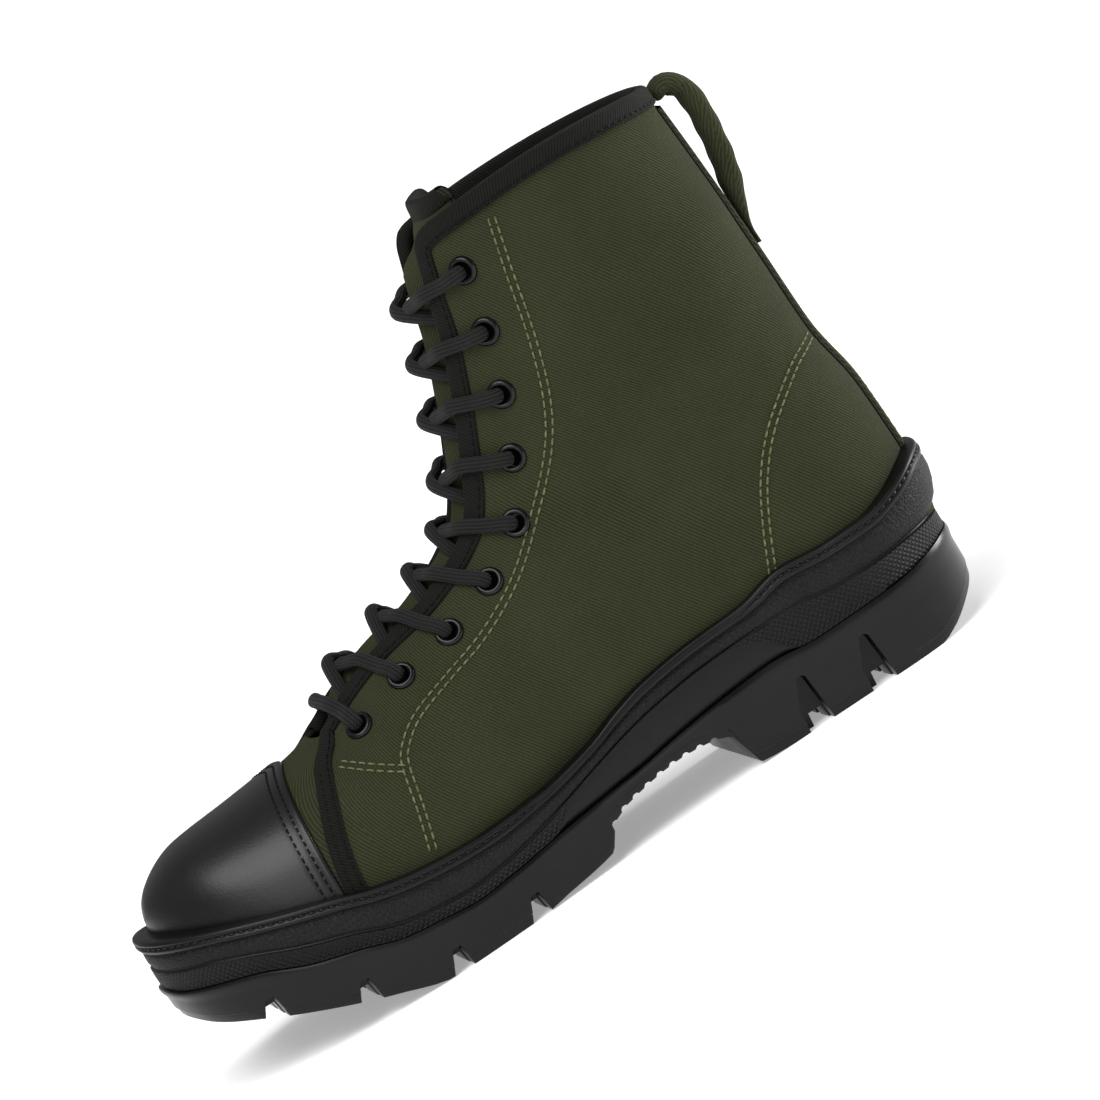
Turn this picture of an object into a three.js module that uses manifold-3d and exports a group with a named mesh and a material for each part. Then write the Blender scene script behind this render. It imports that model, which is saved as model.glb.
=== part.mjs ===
// Jungle boot, left foot: canvas upper, leather toe cap, moulded rubber sole, nine pairs of eyelets.
// Millimetres. +X points to the toe, +Y to the wearer's left (the outer side), +Z up, floor at z = 0.
// Lengths in the tables are shares: x of length, z of shaftHeight or soleHeight, widths of their own size.
import * as THREE from 'three';
import { mergeVertices } from 'three/addons/utils/BufferGeometryUtils.js';
import Module from 'manifold-3d';

const wasm = await Module();
wasm.setup();

// Driving sizes
const length = 300;
const ballWidth = 109;
const heelWidth = 75;
const footWidth = 98;
const ankleWidth = 68;
const shaftHeight = 208;
const soleHeight = 50;
const wall = 2.2;
const clearance = 0.3;
const capThickness = 1.3;
const tapeThickness = 0.9;
const tapeWidth = 5.8;
const throatHalfGap = 15;
const insoleThickness = 3;
const tongueThickness = 2.4;
const tongueHalfWidth = 26;
const tongueRise = 9;
const eyeletCount = 9;
const eyeletRadius = 4.9;
const eyeletHole = 2.9;
const eyeletInset = 14.5;
const eyeletHeight = 1.1;
const laceRadius = 1.7;
const loopWidth = 16;
const loopThickness = 7;
const loopEnd = 1.8;
const backstayHalfWidth = 11;
const lugDepth = 4.6;
const ribPitch = 5.3;
const originX = 54;

// Materials
const canvas = new THREE.MeshStandardMaterial({ color: 0x2f351f, roughness: 0.95, metalness: 0 });
const blackCanvas = new THREE.MeshStandardMaterial({ color: 0x101010, roughness: 0.9, metalness: 0 });
const leather = new THREE.MeshStandardMaterial({ color: 0x0b0b0c, roughness: 0.35, metalness: 0 });
const rubber = new THREE.MeshStandardMaterial({ color: 0x0d0d0e, roughness: 0.55, metalness: 0 });
const enamel = new THREE.MeshStandardMaterial({ color: 0x0c0c0d, roughness: 0.4, metalness: 0.6 });
const lining = new THREE.MeshStandardMaterial({ color: 0x3a3a36, roughness: 0.95, metalness: 0 });

// A smooth line through the rows of a table that never overshoots them
function curve(table, key, value) {
  const n = table.length;
  const last = table[n - 1];
  if (value <= table[0][key[0]]) return table[0][key[1]];
  if (value >= last[key[0]]) return last[key[1]];
  const slope = (i) => (table[i + 1][key[1]] - table[i][key[1]]) / (table[i + 1][key[0]] - table[i][key[0]]);
  const tangent = (i) => {
    if (i === 0) return slope(0);
    if (i === n - 1) return slope(n - 2);
    const before = slope(i - 1);
    const after = slope(i);
    return before * after <= 0 ? 0 : (2 * before * after) / (before + after);
  };
  let i = 0;
  while (value > table[i + 1][key[0]]) i += 1;
  const h = table[i + 1][key[0]] - table[i][key[0]];
  const f = (value - table[i][key[0]]) / h;
  const rise = table[i + 1][key[1]] - table[i][key[1]];
  const bend = f * (1 - f) * h * ((1 - f) * (tangent(i) - rise / h) - f * (tangent(i + 1) - rise / h));
  return table[i][key[1]] + rise * f + bend;
}

const clamp = (value, low, high) => Math.min(high, Math.max(low, value));
const mix = (a, b, f) => a + (b - a) * f;
const ease = (value) => {
  const f = clamp(value, 0, 1);
  return f * f * (3 - 2 * f);
};
const dome = (f, power) => (1 - clamp(f, 0, 1) ** power) ** (1 / power);
const steps = (from, to, count) => Array.from({ length: count + 1 }, (_, i) => mix(from, to, i / count));

// The upper's fan of rows, from the toe tip along the sole edge and up the back to the collar.
// base and top are the ends of each row in the side view; widths are shares of half footWidth.
const fan = [
  { t: 0.00, bx: 0.975, bz: 0.230, tx: 0.976, tz: 0.298, outer: 1.00, inner: 1.00, low: 0.97, m: 0.22, p: 2.3, bow: 0 },
  { t: 0.05, bx: 0.967, bz: 0.223, tx: 0.969, tz: 0.319, outer: 1.00, inner: 1.00, low: 0.97, m: 0.22, p: 2.3, bow: 0 },
  { t: 0.10, bx: 0.943, bz: 0.205, tx: 0.949, tz: 0.343, outer: 1.00, inner: 1.00, low: 0.97, m: 0.22, p: 2.3, bow: 0 },
  { t: 0.16, bx: 0.893, bz: 0.173, tx: 0.898, tz: 0.370, outer: 1.01, inner: 1.00, low: 0.97, m: 0.22, p: 2.3, bow: 0 },
  { t: 0.23, bx: 0.817, bz: 0.137, tx: 0.817, tz: 0.380, outer: 1.01, inner: 1.00, low: 0.97, m: 0.21, p: 2.3, bow: 0 },
  { t: 0.30, bx: 0.733, bz: 0.114, tx: 0.740, tz: 0.393, outer: 1.01, inner: 0.99, low: 0.97, m: 0.19, p: 2.2, bow: 0 },
  { t: 0.36, bx: 0.667, bz: 0.109, tx: 0.700, tz: 0.414, outer: 1.00, inner: 0.94, low: 0.97, m: 0.17, p: 2.1, bow: 0 },
  { t: 0.42, bx: 0.593, bz: 0.113, tx: 0.665, tz: 0.448, outer: 0.95, inner: 0.83, low: 0.94, m: 0.18, p: 2.0, bow: 0 },
  { t: 0.48, bx: 0.500, bz: 0.127, tx: 0.612, tz: 0.482, outer: 0.86, inner: 0.74, low: 0.90, m: 0.22, p: 2.0, bow: 0 },
  { t: 0.54, bx: 0.383, bz: 0.144, tx: 0.556, tz: 0.505, outer: 0.78, inner: 0.71, low: 0.89, m: 0.28, p: 2.0, bow: 0 },
  { t: 0.60, bx: 0.240, bz: 0.158, tx: 0.510, tz: 0.532, outer: 0.73, inner: 0.71, low: 0.92, m: 0.33, p: 2.1, bow: 0 },
  { t: 0.66, bx: 0.093, bz: 0.160, tx: 0.477, tz: 0.570, outer: 0.70, inner: 0.70, low: 0.96, m: 0.37, p: 2.1, bow: 0 },
  { t: 0.70, bx: -0.003, bz: 0.160, tx: 0.457, tz: 0.608, outer: 0.69, inner: 0.69, low: 1.00, m: 0.40, p: 2.2, bow: 0 },
  { t: 0.74, bx: -0.011, bz: 0.250, tx: 0.438, tz: 0.660, outer: 0.69, inner: 0.69, low: 1.00, m: 0.42, p: 2.2, bow: 0 },
  { t: 0.79, bx: -0.007, bz: 0.404, tx: 0.417, tz: 0.716, outer: 0.69, inner: 0.69, low: 1.00, m: 0.44, p: 2.2, bow: 0 },
  { t: 0.84, bx: 0.008, bz: 0.529, tx: 0.398, tz: 0.772, outer: 0.70, inner: 0.70, low: 1.00, m: 0.45, p: 2.2, bow: 0 },
  { t: 0.89, bx: 0.012, bz: 0.673, tx: 0.380, tz: 0.830, outer: 0.72, inner: 0.72, low: 1.00, m: 0.46, p: 2.2, bow: 0.002 },
  { t: 0.94, bx: 0.018, bz: 0.827, tx: 0.364, tz: 0.900, outer: 0.75, inner: 0.75, low: 1.00, m: 0.47, p: 2.2, bow: 0.008 },
  { t: 1.00, bx: 0.026, bz: 0.978, tx: 0.344, tz: 0.982, outer: 0.78, inner: 0.78, low: 1.00, m: 0.48, p: 2.2, bow: 0.024 },
];
const throatRow = 0.335;
const throatTurn = 0.022;
const cornerRow = 0.70;
const heelRow = 0.63;
const collarTurn = 0.018;
const at = (key, t) => curve(fan, ['t', key], t);

// The back line as x against height, for the round of the heel
const backLine = steps(cornerRow, 1, 40).map((t) => ({ z: at('bz', t), x: at('bx', t) }));

// Half width of the upper on one side, before its top and back close
function bodyHalf(t, side, rise) {
  const share = side > 0 ? at('outer', t) : at('inner', t);
  const leg = ease((t - 0.5) / 0.3);
  const size = mix(footWidth, ankleWidth / 0.69, leg) / 2;
  const toeStart = 0.71;
  const toe = (at('bx', t) - toeStart) / (fan[0].bx - toeStart);
  const tip = toe > 0 ? dome(toe, side > 0 ? 2 : 2.5) : 1;
  return size * share * tip * mix(at('low', t), 1, ease(rise * 4));
}

// Half of the gap between the facings
function gapHalf(t) {
  if (t <= throatRow) return 0;
  const bottom = dome(1 - (t - throatRow) / throatTurn, 2);
  const top = t > 1 - collarTurn ? 1 - dome((t - 1 + collarTurn) / collarTurn, 2) : 0;
  return throatHalfGap * bottom * mix(0.86, 1.12, (t - throatRow) / (1 - throatRow)) + 7 * top;
}

// A point of the upper's outer face. angle runs 0 at the base or back line, 90 degrees at the
// widest place and 180 degrees at the ridge over the instep.
function skin(t, side, angle) {
  const m = at('m', t);
  const p = at('p', t);
  const front = Math.max(0, angle - Math.PI / 2);
  const s = angle < Math.PI / 2 ? m * (1 - Math.cos(angle)) : m + (1 - m) * Math.sin(front) ** (2 / p);
  const x = mix(at('bx', t), at('tx', t), s) * length;
  const z = (mix(at('bz', t), at('tz', t), s) + at('bow', t) * 4 * s * (1 - s)) * shaftHeight;
  const closing = Math.max(0, Math.cos(front)) ** (2 / p);
  const reach = 0.15 * length;
  const back = curve(backLine, ['z', 'x'], z / shaftHeight) * length;
  const onBack = angle === 0 && t >= cornerRow;
  const rear = x - back < reach ? dome((reach - (x - back)) / reach, 2.2) * (onBack ? 0 : 1) : 1;
  return new THREE.Vector3(x, side * bodyHalf(t, side, s) * closing * rear, z);
}

// The angle where the surface is a given distance from the centre plane, in front
function frontAngle(t, side, y) {
  const share = y > 0 ? clamp(y / bodyHalf(t, side, 1), 0, 1) : 0;
  return Math.PI / 2 + Math.acos(share ** (at('p', t) / 2));
}

// The same at the back, by halving
function backAngle(t, side, y) {
  let low = 0;
  let high = Math.PI / 2;
  for (let i = 0; i < 24; i += 1) {
    const middle = (low + high) / 2;
    if (Math.abs(skin(t, side, middle).y) < y) low = middle;
    else high = middle;
  }
  return (low + high) / 2;
}

const edgeAngle = (t, side) => frontAngle(t, side, gapHalf(t));

// Outward direction of the upper's face
function skinNormal(t, side, angle) {
  const dt = 0.004;
  const da = 0.04;
  const alongT = skin(Math.min(1, t + dt), side, angle).sub(skin(t - dt, side, angle));
  const alongA = skin(t, side, Math.min(Math.PI, angle + da)).sub(skin(t, side, angle - da));
  return alongT.cross(alongA).multiplyScalar(side).normalize();
}

// Solids
function toGeometry(positions, indices) {
  const geometry = new THREE.BufferGeometry();
  geometry.setAttribute('position', new THREE.Float32BufferAttribute(positions, 3));
  geometry.setIndex(indices);
  return geometry;
}

function toSolid(geometry) {
  const bare = geometry.clone();
  bare.deleteAttribute('normal');
  bare.deleteAttribute('uv');
  const merged = mergeVertices(bare, 1e-4);
  const index = [];
  for (let i = 0; i < merged.index.count; i += 3) {
    const [a, b, c] = [0, 1, 2].map((k) => merged.index.getX(i + k));
    if (a !== b && b !== c && c !== a) index.push(a, b, c);
  }
  return new wasm.Manifold(new wasm.Mesh({
    numProp: 3,
    vertProperties: new Float32Array(merged.attributes.position.array),
    triVerts: new Uint32Array(index),
  }));
}

function fromSolid(solid) {
  const mesh = solid.getMesh();
  return toGeometry(Array.from(mesh.vertProperties), Array.from(mesh.triVerts));
}

// An open sheet of points, rows by columns, as merged positions and triangles
function sheet(grids) {
  const positions = [];
  const indices = [];
  for (const { rows, flip } of grids) {
    const start = positions.length / 3;
    const across = rows[0].length;
    rows.forEach((row) => row.forEach((point) => positions.push(point.x, point.y, point.z)));
    for (let i = 0; i < rows.length - 1; i += 1) {
      for (let j = 0; j < across - 1; j += 1) {
        const a = start + i * across + j;
        const b = a + 1;
        const c = a + across;
        const d = c + 1;
        if (flip) indices.push(a, c, b, b, c, d);
        else indices.push(a, b, c, b, d, c);
      }
    }
  }
  return mergeVertices(toGeometry(positions, indices), 1e-3);
}

// A wall between two distances from a sheet, closed along its free edges
function shell(open, outside, inside) {
  open.computeVertexNormals();
  const place = open.attributes.position;
  const normal = open.attributes.normal;
  const count = place.count;
  const positions = [];
  for (const offset of [outside, inside]) {
    for (let i = 0; i < count; i += 1) {
      const point = new THREE.Vector3().fromBufferAttribute(place, i);
      const direction = new THREE.Vector3().fromBufferAttribute(normal, i);
      point.addScaledVector(direction, offset);
      positions.push(point.x, point.y, point.z);
    }
  }
  const faces = [];
  const edges = new Map();
  for (let i = 0; i < open.index.count; i += 3) {
    const face = [0, 1, 2].map((k) => open.index.getX(i + k));
    if (face[0] === face[1] || face[1] === face[2] || face[2] === face[0]) continue;
    faces.push(...face, face[2] + count, face[1] + count, face[0] + count);
    for (let k = 0; k < 3; k += 1) {
      const [a, b] = [face[k], face[(k + 1) % 3]];
      if (edges.has(`${b},${a}`)) edges.delete(`${b},${a}`);
      else edges.set(`${a},${b}`, [a, b]);
    }
  }
  for (const [a, b] of edges.values()) faces.push(b, a, a + count, b, a + count, b + count);
  return toGeometry(positions, faces);
}

// Row and column places
function upperRows() {
  return [
    ...steps(0, throatRow, 9),
    ...steps(throatRow, throatRow + throatTurn, 3).slice(1),
    ...steps(throatRow + throatTurn, heelRow, 6).slice(1),
    ...steps(1, 0, 5).slice(1).map((f) => mix(cornerRow, heelRow, f * f)),
    ...steps(cornerRow, 1 - collarTurn, 8).slice(1),
    ...steps(1 - collarTurn, 1, 4).slice(1),
  ];
}

// Columns lie closest where the back is roundest
const backAngles = [0, 0.22, 0.5, 0.95];
const frontColumns = 6;
const columnAngles = (endAngle) => [...backAngles, ...steps(Math.PI / 2, endAngle, frontColumns)];

function upper(margin = 0, rows = upperRows()) {
  const grids = [1, -1].map((side) => ({
    rows: rows.map((t) => columnAngles(edgeAngle(t, side)).map((angle) => skin(t, side, angle))),
    flip: side > 0,
  }));
  return shell(sheet(grids), margin, -wall - margin);
}

// The lasted form that the sole is hollowed by, larger than the upper by a gap that is wider
// under the toe cap, the tape and the back strip
function lastForm() {
  const rows = upperRows();
  const tight = clearance;
  const loose = clearance * 3 + capThickness;
  const angles = columnAngles(Math.PI);
  const grids = [1, -1].map((side) => ({
    rows: rows.map((t) => angles.map((angle, j) => {
      const onRidge = j === angles.length - 1;
      const onBack = j === 0 && t >= cornerRow;
      const shared = onRidge || onBack || t === 0;
      const from = shared ? 1 : side;
      const point = skin(t, from, angle);
      const overlay = Math.max(ease((0.35 - t) / 0.03), ease((18 - Math.abs(point.y)) / 4) * ease((t - 0.6) / 0.1));
      const direction = t === 0 ? new THREE.Vector3(1, 0, 0) : skinNormal(t, from, clamp(angle, 0.05, 3.1));
      const moved = point.clone().addScaledVector(direction, mix(tight, loose, overlay));
      if (shared) moved.y = 0;
      if (j === 0 && t < cornerRow) moved.z = point.z - clearance * 2;
      return moved;
    })),
    flip: side > 0,
  }));
  const base = { rows: [], flip: false };
  rows.forEach((t, i) => {
    if (t <= cornerRow + 1e-9) base.rows.push([grids[0].rows[i][0], grids[1].rows[i][0]]);
  });
  const collar = { rows: [], flip: false };
  const topRow = rows.length - 1;
  grids[0].rows[topRow].forEach((point, j) => collar.rows.push([point, grids[1].rows[topRow][j]]));
  return toSolid(sheet([...grids, base, collar]));
}

// Toe cap, with a seam that is upright at the sides and runs back toward the ridge
function capSeam(angle) {
  return 0.2545 + 0.0315 * (Math.max(0, angle - 1.2) / 1.94) ** 2.5;
}

function toeCap() {
  const angles = columnAngles(Math.PI).slice(2);
  const grids = [1, -1].map((side) => ({
    rows: steps(0, 1, 9).map((f) => angles.map((angle) => skin(capSeam(angle) * f, side, angle))),
    flip: side > 0,
  }));
  const gap = clearance * 1.2;
  return shell(sheet(grids), gap + capThickness, gap);
}

// Strip up the back
function backstay() {
  const rows = steps(0.745, 0.985, 10).map((t) => {
    const half = (side) => [backAngles[1], backAngle(t, side, backstayHalfWidth)].map((angle) => skin(t, side, angle));
    return [...half(-1).reverse(), skin(t, 1, 0), ...half(1)];
  });
  return shell(sheet([{ rows, flip: true }]), clearance + tapeThickness + 0.4, clearance);
}

// Tape over the edge of one side: collar, round corner, facing, then a flat run to the sole rim
function edgePath(side) {
  const path = [];
  const collarEnd = edgeAngle(1, side);
  path.push({ t: 1, angle: backAngle(1, side, 1.2) });
  for (const angle of columnAngles(collarEnd).slice(1)) path.push({ t: 1, angle });
  const facing = upperRows().filter((t) => t < 1 && t >= throatRow + throatTurn);
  for (const t of facing.reverse()) path.push({ t, angle: edgeAngle(t, side) });
  return path;
}

// Steps from a place on the surface by a distance along it, at right angles to a direction
function inward(place, side, along, distance) {
  const normal = skinNormal(place.t, side, place.angle);
  const want = normal.clone().cross(along).normalize().multiplyScalar(distance * side);
  const here = skin(place.t, side, place.angle);
  const dt = -0.004;
  const da = -0.03;
  const byT = skin(place.t + dt, side, place.angle).sub(here);
  const byA = skin(place.t, side, place.angle + da).sub(here);
  const a = byT.dot(byT);
  const b = byT.dot(byA);
  const c = byA.dot(byA);
  const d = want.dot(byT);
  const e = want.dot(byA);
  const det = a * c - b * b;
  return { t: place.t + (dt * (d * c - e * b)) / det, angle: place.angle + (da * (a * e - b * d)) / det };
}

function loft(rings) {
  const across = rings[0].length;
  const positions = rings.flat().flatMap((point) => [point.x, point.y, point.z]);
  const indices = [];
  for (let i = 0; i < rings.length - 1; i += 1) {
    for (let j = 0; j < across; j += 1) {
      const k = (j + 1) % across;
      const a = i * across + j;
      const b = i * across + k;
      indices.push(a, b, a + across, b, b + across, a + across);
    }
  }
  const end = (rings.length - 1) * across;
  const flat = THREE.ShapeUtils.triangulateShape(rings[0].map((_, j) => ringPlan(rings[0], j)), []);
  flat.forEach(([a, b, c]) => indices.push(c, b, a));
  const flatEnd = THREE.ShapeUtils.triangulateShape(rings[0].map((_, j) => ringPlan(rings[rings.length - 1], j)), []);
  flatEnd.forEach(([a, b, c]) => indices.push(a + end, b + end, c + end));
  const geometry = toGeometry(positions, indices);
  return volume(geometry) < 0 ? flipped(geometry) : geometry;
}

// A ring's points in its own plane
function ringPlan(ring, j) {
  const middle = ring.reduce((sum, point) => sum.add(point), new THREE.Vector3()).divideScalar(ring.length);
  const normal = new THREE.Vector3();
  ring.forEach((point, i) => {
    const next = ring[(i + 1) % ring.length];
    normal.add(point.clone().sub(middle).cross(next.clone().sub(middle)));
  });
  normal.normalize();
  const u = ring[0].clone().sub(middle).projectOnPlane(normal).normalize();
  const v = normal.clone().cross(u);
  const arm = ring[j].clone().sub(middle);
  return new THREE.Vector2(arm.dot(u), arm.dot(v));
}

function volume(geometry) {
  const place = geometry.attributes.position;
  let sum = 0;
  for (let i = 0; i < geometry.index.count; i += 3) {
    const [a, b, c] = [0, 1, 2].map((k) => new THREE.Vector3().fromBufferAttribute(place, geometry.index.getX(i + k)));
    sum += a.dot(b.cross(c)) / 6;
  }
  return sum;
}

function flipped(geometry) {
  const turned = geometry.clone();
  const index = Array.from(geometry.index.array);
  for (let i = 0; i < index.length; i += 3) [index[i], index[i + 2]] = [index[i + 2], index[i]];
  turned.setIndex(index);
  return turned;
}

function edgeTape(side) {
  const path = edgePath(side);
  const rings = path.map((place, i) => {
    const [before, here, after] = [i - 1, i, i + 1]
      .map((k) => path[clamp(k, 0, path.length - 1)])
      .map(({ t, angle }) => skin(t, side, angle));
    const along = after.sub(here).normalize().add(here.sub(before).normalize()).normalize();
    const leaf = (distance, height) => {
      const spot = distance > 0 ? inward(place, side, along, distance) : place;
      const normal = skinNormal(Math.min(spot.t, 0.999), side, spot.angle);
      const point = skin(spot.t, side, spot.angle);
      if (distance < 0) {
        const out = normal.clone().cross(along).normalize().multiplyScalar(-side * -distance);
        point.add(out);
      }
      return point.addScaledVector(normal, height);
    };
    const lift = clearance * 1.4;
    const outside = lift + tapeThickness;
    const rim = clearance * 3.8;
    const under = -wall - clearance * 2.2;
    const inside = under - tapeThickness;
    return [
      leaf(tapeWidth, outside),
      leaf(tapeWidth / 2, outside),
      leaf(-rim, outside),
      leaf(-rim - tapeThickness, -wall / 2),
      leaf(-rim, inside),
      leaf(tapeWidth / 2, inside),
      leaf(tapeWidth, inside),
      leaf(tapeWidth, under),
      leaf(tapeWidth / 2, under),
      leaf(-rim, under),
      leaf(-rim, lift),
      leaf(tapeWidth / 2, lift),
      leaf(tapeWidth, lift),
    ];
  });
  const room = (from, to) => toSolid(upper(clearance, upperRows().filter((t) => t > from && t < to)));
  const corner = room(0.92, 1.01);
  const beyond = corner.translate([clearance, 0, clearance]);
  const foot = room(throatRow - 0.04, throatRow + throatTurn + 0.06);
  const folded = toSolid(loft(rings)).subtract(corner).subtract(beyond).subtract(foot);
  return fromSolid(folded.add(frontTape(side)));
}

// The tape's flat run, from the foot of the facing down the quarter's front edge to the sole rim
function frontTape(side) {
  const start = throatRow + throatTurn;
  const foot = { t: 0.2665, angle: 1.3, bend: 0.07 };
  const startAngle = edgeAngle(start, side) - 0.06;
  const path = steps(0, 1, 9).map((f) => {
    const angle = mix(startAngle, foot.angle, f);
    const line = foot.t + foot.bend * (Math.max(0, angle - 1.5) / 1.29) ** 2;
    return { t: mix(start, Math.min(line, start), ease(f * 10)), angle };
  });
  const rings = path.map((place, i) => {
    const [before, after] = [i - 1, i + 1]
      .map((k) => path[clamp(k, 0, path.length - 1)])
      .map(({ t, angle }) => skin(t, side, angle));
    const along = after.sub(before).normalize();
    const leaf = (distance, height) => {
      const spot = inward(place, side, along, distance);
      return skin(spot.t, side, spot.angle).addScaledVector(skinNormal(spot.t, side, spot.angle), height);
    };
    const half = tapeWidth / 2;
    const [low, high] = [clearance * 1.4, clearance * 1.4 + tapeThickness];
    return [leaf(half, low), leaf(half, high), leaf(0, high), leaf(-half, high), leaf(-half, low), leaf(0, low)];
  });
  return toSolid(loft(rings));
}

// Sole lines in the side view
const soleLines = [
  { x: -0.030, rim: 1.230, belt: 0.72, part: 0.60 },
  { x: 0.007, rim: 1.154, belt: 0.72, part: 0.586 },
  { x: 0.043, rim: 1.062, belt: 0.72, part: 0.550 },
  { x: 0.087, rim: 1.000, belt: 0.71, part: 0.516 },
  { x: 0.137, rim: 0.994, belt: 0.71, part: 0.506 },
  { x: 0.197, rim: 1.024, belt: 0.76, part: 0.500 },
  { x: 0.257, rim: 0.954, belt: 0.77, part: 0.534 },
  { x: 0.323, rim: 0.940, belt: 0.76, part: 0.514 },
  { x: 0.393, rim: 0.894, belt: 0.72, part: 0.475 },
  { x: 0.433, rim: 0.836, belt: 0.68, part: 0.444 },
  { x: 0.477, rim: 0.752, belt: 0.62, part: 0.425 },
  { x: 0.553, rim: 0.680, belt: 0.51, part: 0.390 },
  { x: 0.620, rim: 0.670, belt: 0.44, part: 0.350 },
  { x: 0.667, rim: 0.686, belt: 0.42, part: 0.332 },
  { x: 0.717, rim: 0.722, belt: 0.45, part: 0.362 },
  { x: 0.760, rim: 0.776, belt: 0.50, part: 0.396 },
  { x: 0.803, rim: 0.858, belt: 0.60, part: 0.480 },
  { x: 0.857, rim: 0.946, belt: 0.70, part: 0.565 },
  { x: 0.910, rim: 1.036, belt: 0.82, part: 0.685 },
  { x: 0.947, rim: 1.122, belt: 0.89, part: 0.735 },
  { x: 0.980, rim: 1.220, belt: 0.93, part: 0.775 },
  { x: 1.000, rim: 1.270, belt: 0.98, part: 0.830 },
];
const treadLine = [
  { x: -0.005, z: 0.300 }, { x: 0.003, z: 0.230 }, { x: 0.027, z: 0.140 }, { x: 0.060, z: 0.040 },
  { x: 0.083, z: 0 }, { x: 0.277, z: 0 }, { x: 0.322, z: 0.020 }, { x: 0.336, z: 0.260 },
  { x: 0.353, z: 0.310 }, { x: 0.400, z: 0.340 }, { x: 0.467, z: 0.298 }, { x: 0.497, z: 0.235 },
  { x: 0.517, z: 0.080 }, { x: 0.590, z: 0.024 }, { x: 0.620, z: 0 }, { x: 0.730, z: 0 },
  { x: 0.800, z: 0.110 }, { x: 0.833, z: 0.174 }, { x: 0.897, z: 0.314 }, { x: 0.933, z: 0.400 },
  { x: 0.973, z: 0.500 }, { x: 0.997, z: 0.600 },
];
const solePlan = [
  { x: 0.10, outer: 1.00, inner: 1.00 }, { x: 0.23, outer: 1.02, inner: 1.01 },
  { x: 0.33, outer: 1.05, inner: 0.99 }, { x: 0.43, outer: 1.13, inner: 1.00 },
  { x: 0.53, outer: 1.25, inner: 1.08 }, { x: 0.62, outer: 1.37, inner: 1.25 },
  { x: 0.70, outer: 1.44, inner: 1.38 }, { x: 0.76, outer: 1.453, inner: 1.453 },
  { x: 0.90, outer: 1.453, inner: 1.453 },
];
const soleLine = (key, x) => curve(soleLines, ['x', key], x / length) * soleHeight;
const treadHeight = (x) => curve(treadLine, ['x', 'z'], x / length) * soleHeight;
const heelRear = -0.004 * length;
const toeFront = 0.997 * length;

function soleHalf(x, side) {
  const share = curve(solePlan, ['x', side > 0 ? 'outer' : 'inner'], x / length);
  const widening = ease((x / length - 0.3) / 0.4);
  const size = mix(heelWidth, ballWidth / 1.453, widening) / 2;
  const heelRound = 0.14 * length;
  const toeStart = 0.72 * length;
  const heel = x < heelRound ? dome((heelRound - x) / (heelRound - heelRear), 2.3) : 1;
  const toe = x > toeStart ? dome((x - toeStart) / (toeFront - toeStart), side > 0 ? 2 : 2.6) : 1;
  return size * share * heel * toe;
}

// Stations round the sole: the two ends once, the rest on both sides
function soleStations() {
  const even = steps(0, Math.PI, 30).map((turn) => mix(heelRear, toeFront, (1 - Math.cos(turn)) / 2));
  const extra = [0.277, 0.322, 0.336, 0.353, 0.497, 0.517].map((share) => share * length);
  const kept = even.filter((x) => extra.every((place) => Math.abs(place - x) > 0.009 * length));
  return [...kept, ...extra].sort((a, b) => a - b);
}

// The outline pushed out by an offset that grows toward the heel's back
function soleRing(offset, rear, height) {
  const stations = soleStations();
  const last = stations.length - 1;
  const at2 = (i, side) => new THREE.Vector2(stations[i], side * soleHalf(stations[i], side));
  const ring = (side) => stations.map((x, i) => {
    const here = at2(i, side);
    let direction;
    if (i === 0) direction = new THREE.Vector2(-1, 0);
    else if (i === last) direction = new THREE.Vector2(1, 0);
    else {
      const along = at2(i + 1, side).sub(at2(i - 1, side)).normalize();
      direction = new THREE.Vector2(-along.y * side, along.x * side);
    }
    const push = offset + (rear - offset) * clamp(1 - (x - heelRear) / (0.2 * length), 0, 1) ** 2;
    return new THREE.Vector3(here.x + direction.x * push, here.y + direction.y * push, height(x));
  });
  return { left: ring(1), right: ring(-1) };
}

// Rings stacked from the bottom up, with the first and last ones closed across
function soleStack(levels) {
  const rings = levels.map(({ side, rear, z }) => soleRing(side, rear, z));
  const leftRows = rings.map((ring) => ring.left);
  const rightRows = rings.map((ring) => ring.right);
  const cap = (ring) => ring.left.map((point, i) => [point, ring.right[i]]);
  const grids = [
    { rows: leftRows, flip: true },
    { rows: rightRows, flip: false },
    { rows: cap(rings[0]), flip: true },
    { rows: cap(rings[rings.length - 1]), flip: false },
  ];
  const geometry = sheet(grids);
  return toSolid(volume(geometry) < 0 ? flipped(geometry) : geometry);
}

function midsole() {
  const beadHeight = 5;
  const part = (x) => soleLine('part', x) + clearance;
  const belt = (x) => soleLine('belt', x);
  const rim = (x) => soleLine('rim', x);
  const bead = (x) => Math.max(rim(x) - beadHeight, mix(belt(x), rim(x), 0.55));
  const levels = [
    { side: -0.8, rear: -0.2, z: part },
    { side: 0.1, rear: 0.3, z: (x) => mix(part(x), belt(x), 0.82) },
    { side: -0.7, rear: -1.6, z: belt },
    { side: -0.3, rear: 3.4, z: (x) => mix(belt(x), rim(x), 0.16) },
    { side: -0.3, rear: 6.6, z: (x) => mix(belt(x), rim(x), 0.4) },
    { side: -1.0, rear: 6.0, z: (x) => bead(x) - 0.5 },
    { side: 0.2, rear: 6.6, z: (x) => bead(x) + 0.6 },
    { side: 0.4, rear: 6.2, z: (x) => mix(bead(x), rim(x), 0.75) },
    { side: -0.9, rear: 4.8, z: rim },
  ];
  return fromSolid(soleStack(levels).subtract(lastForm()));
}

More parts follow.
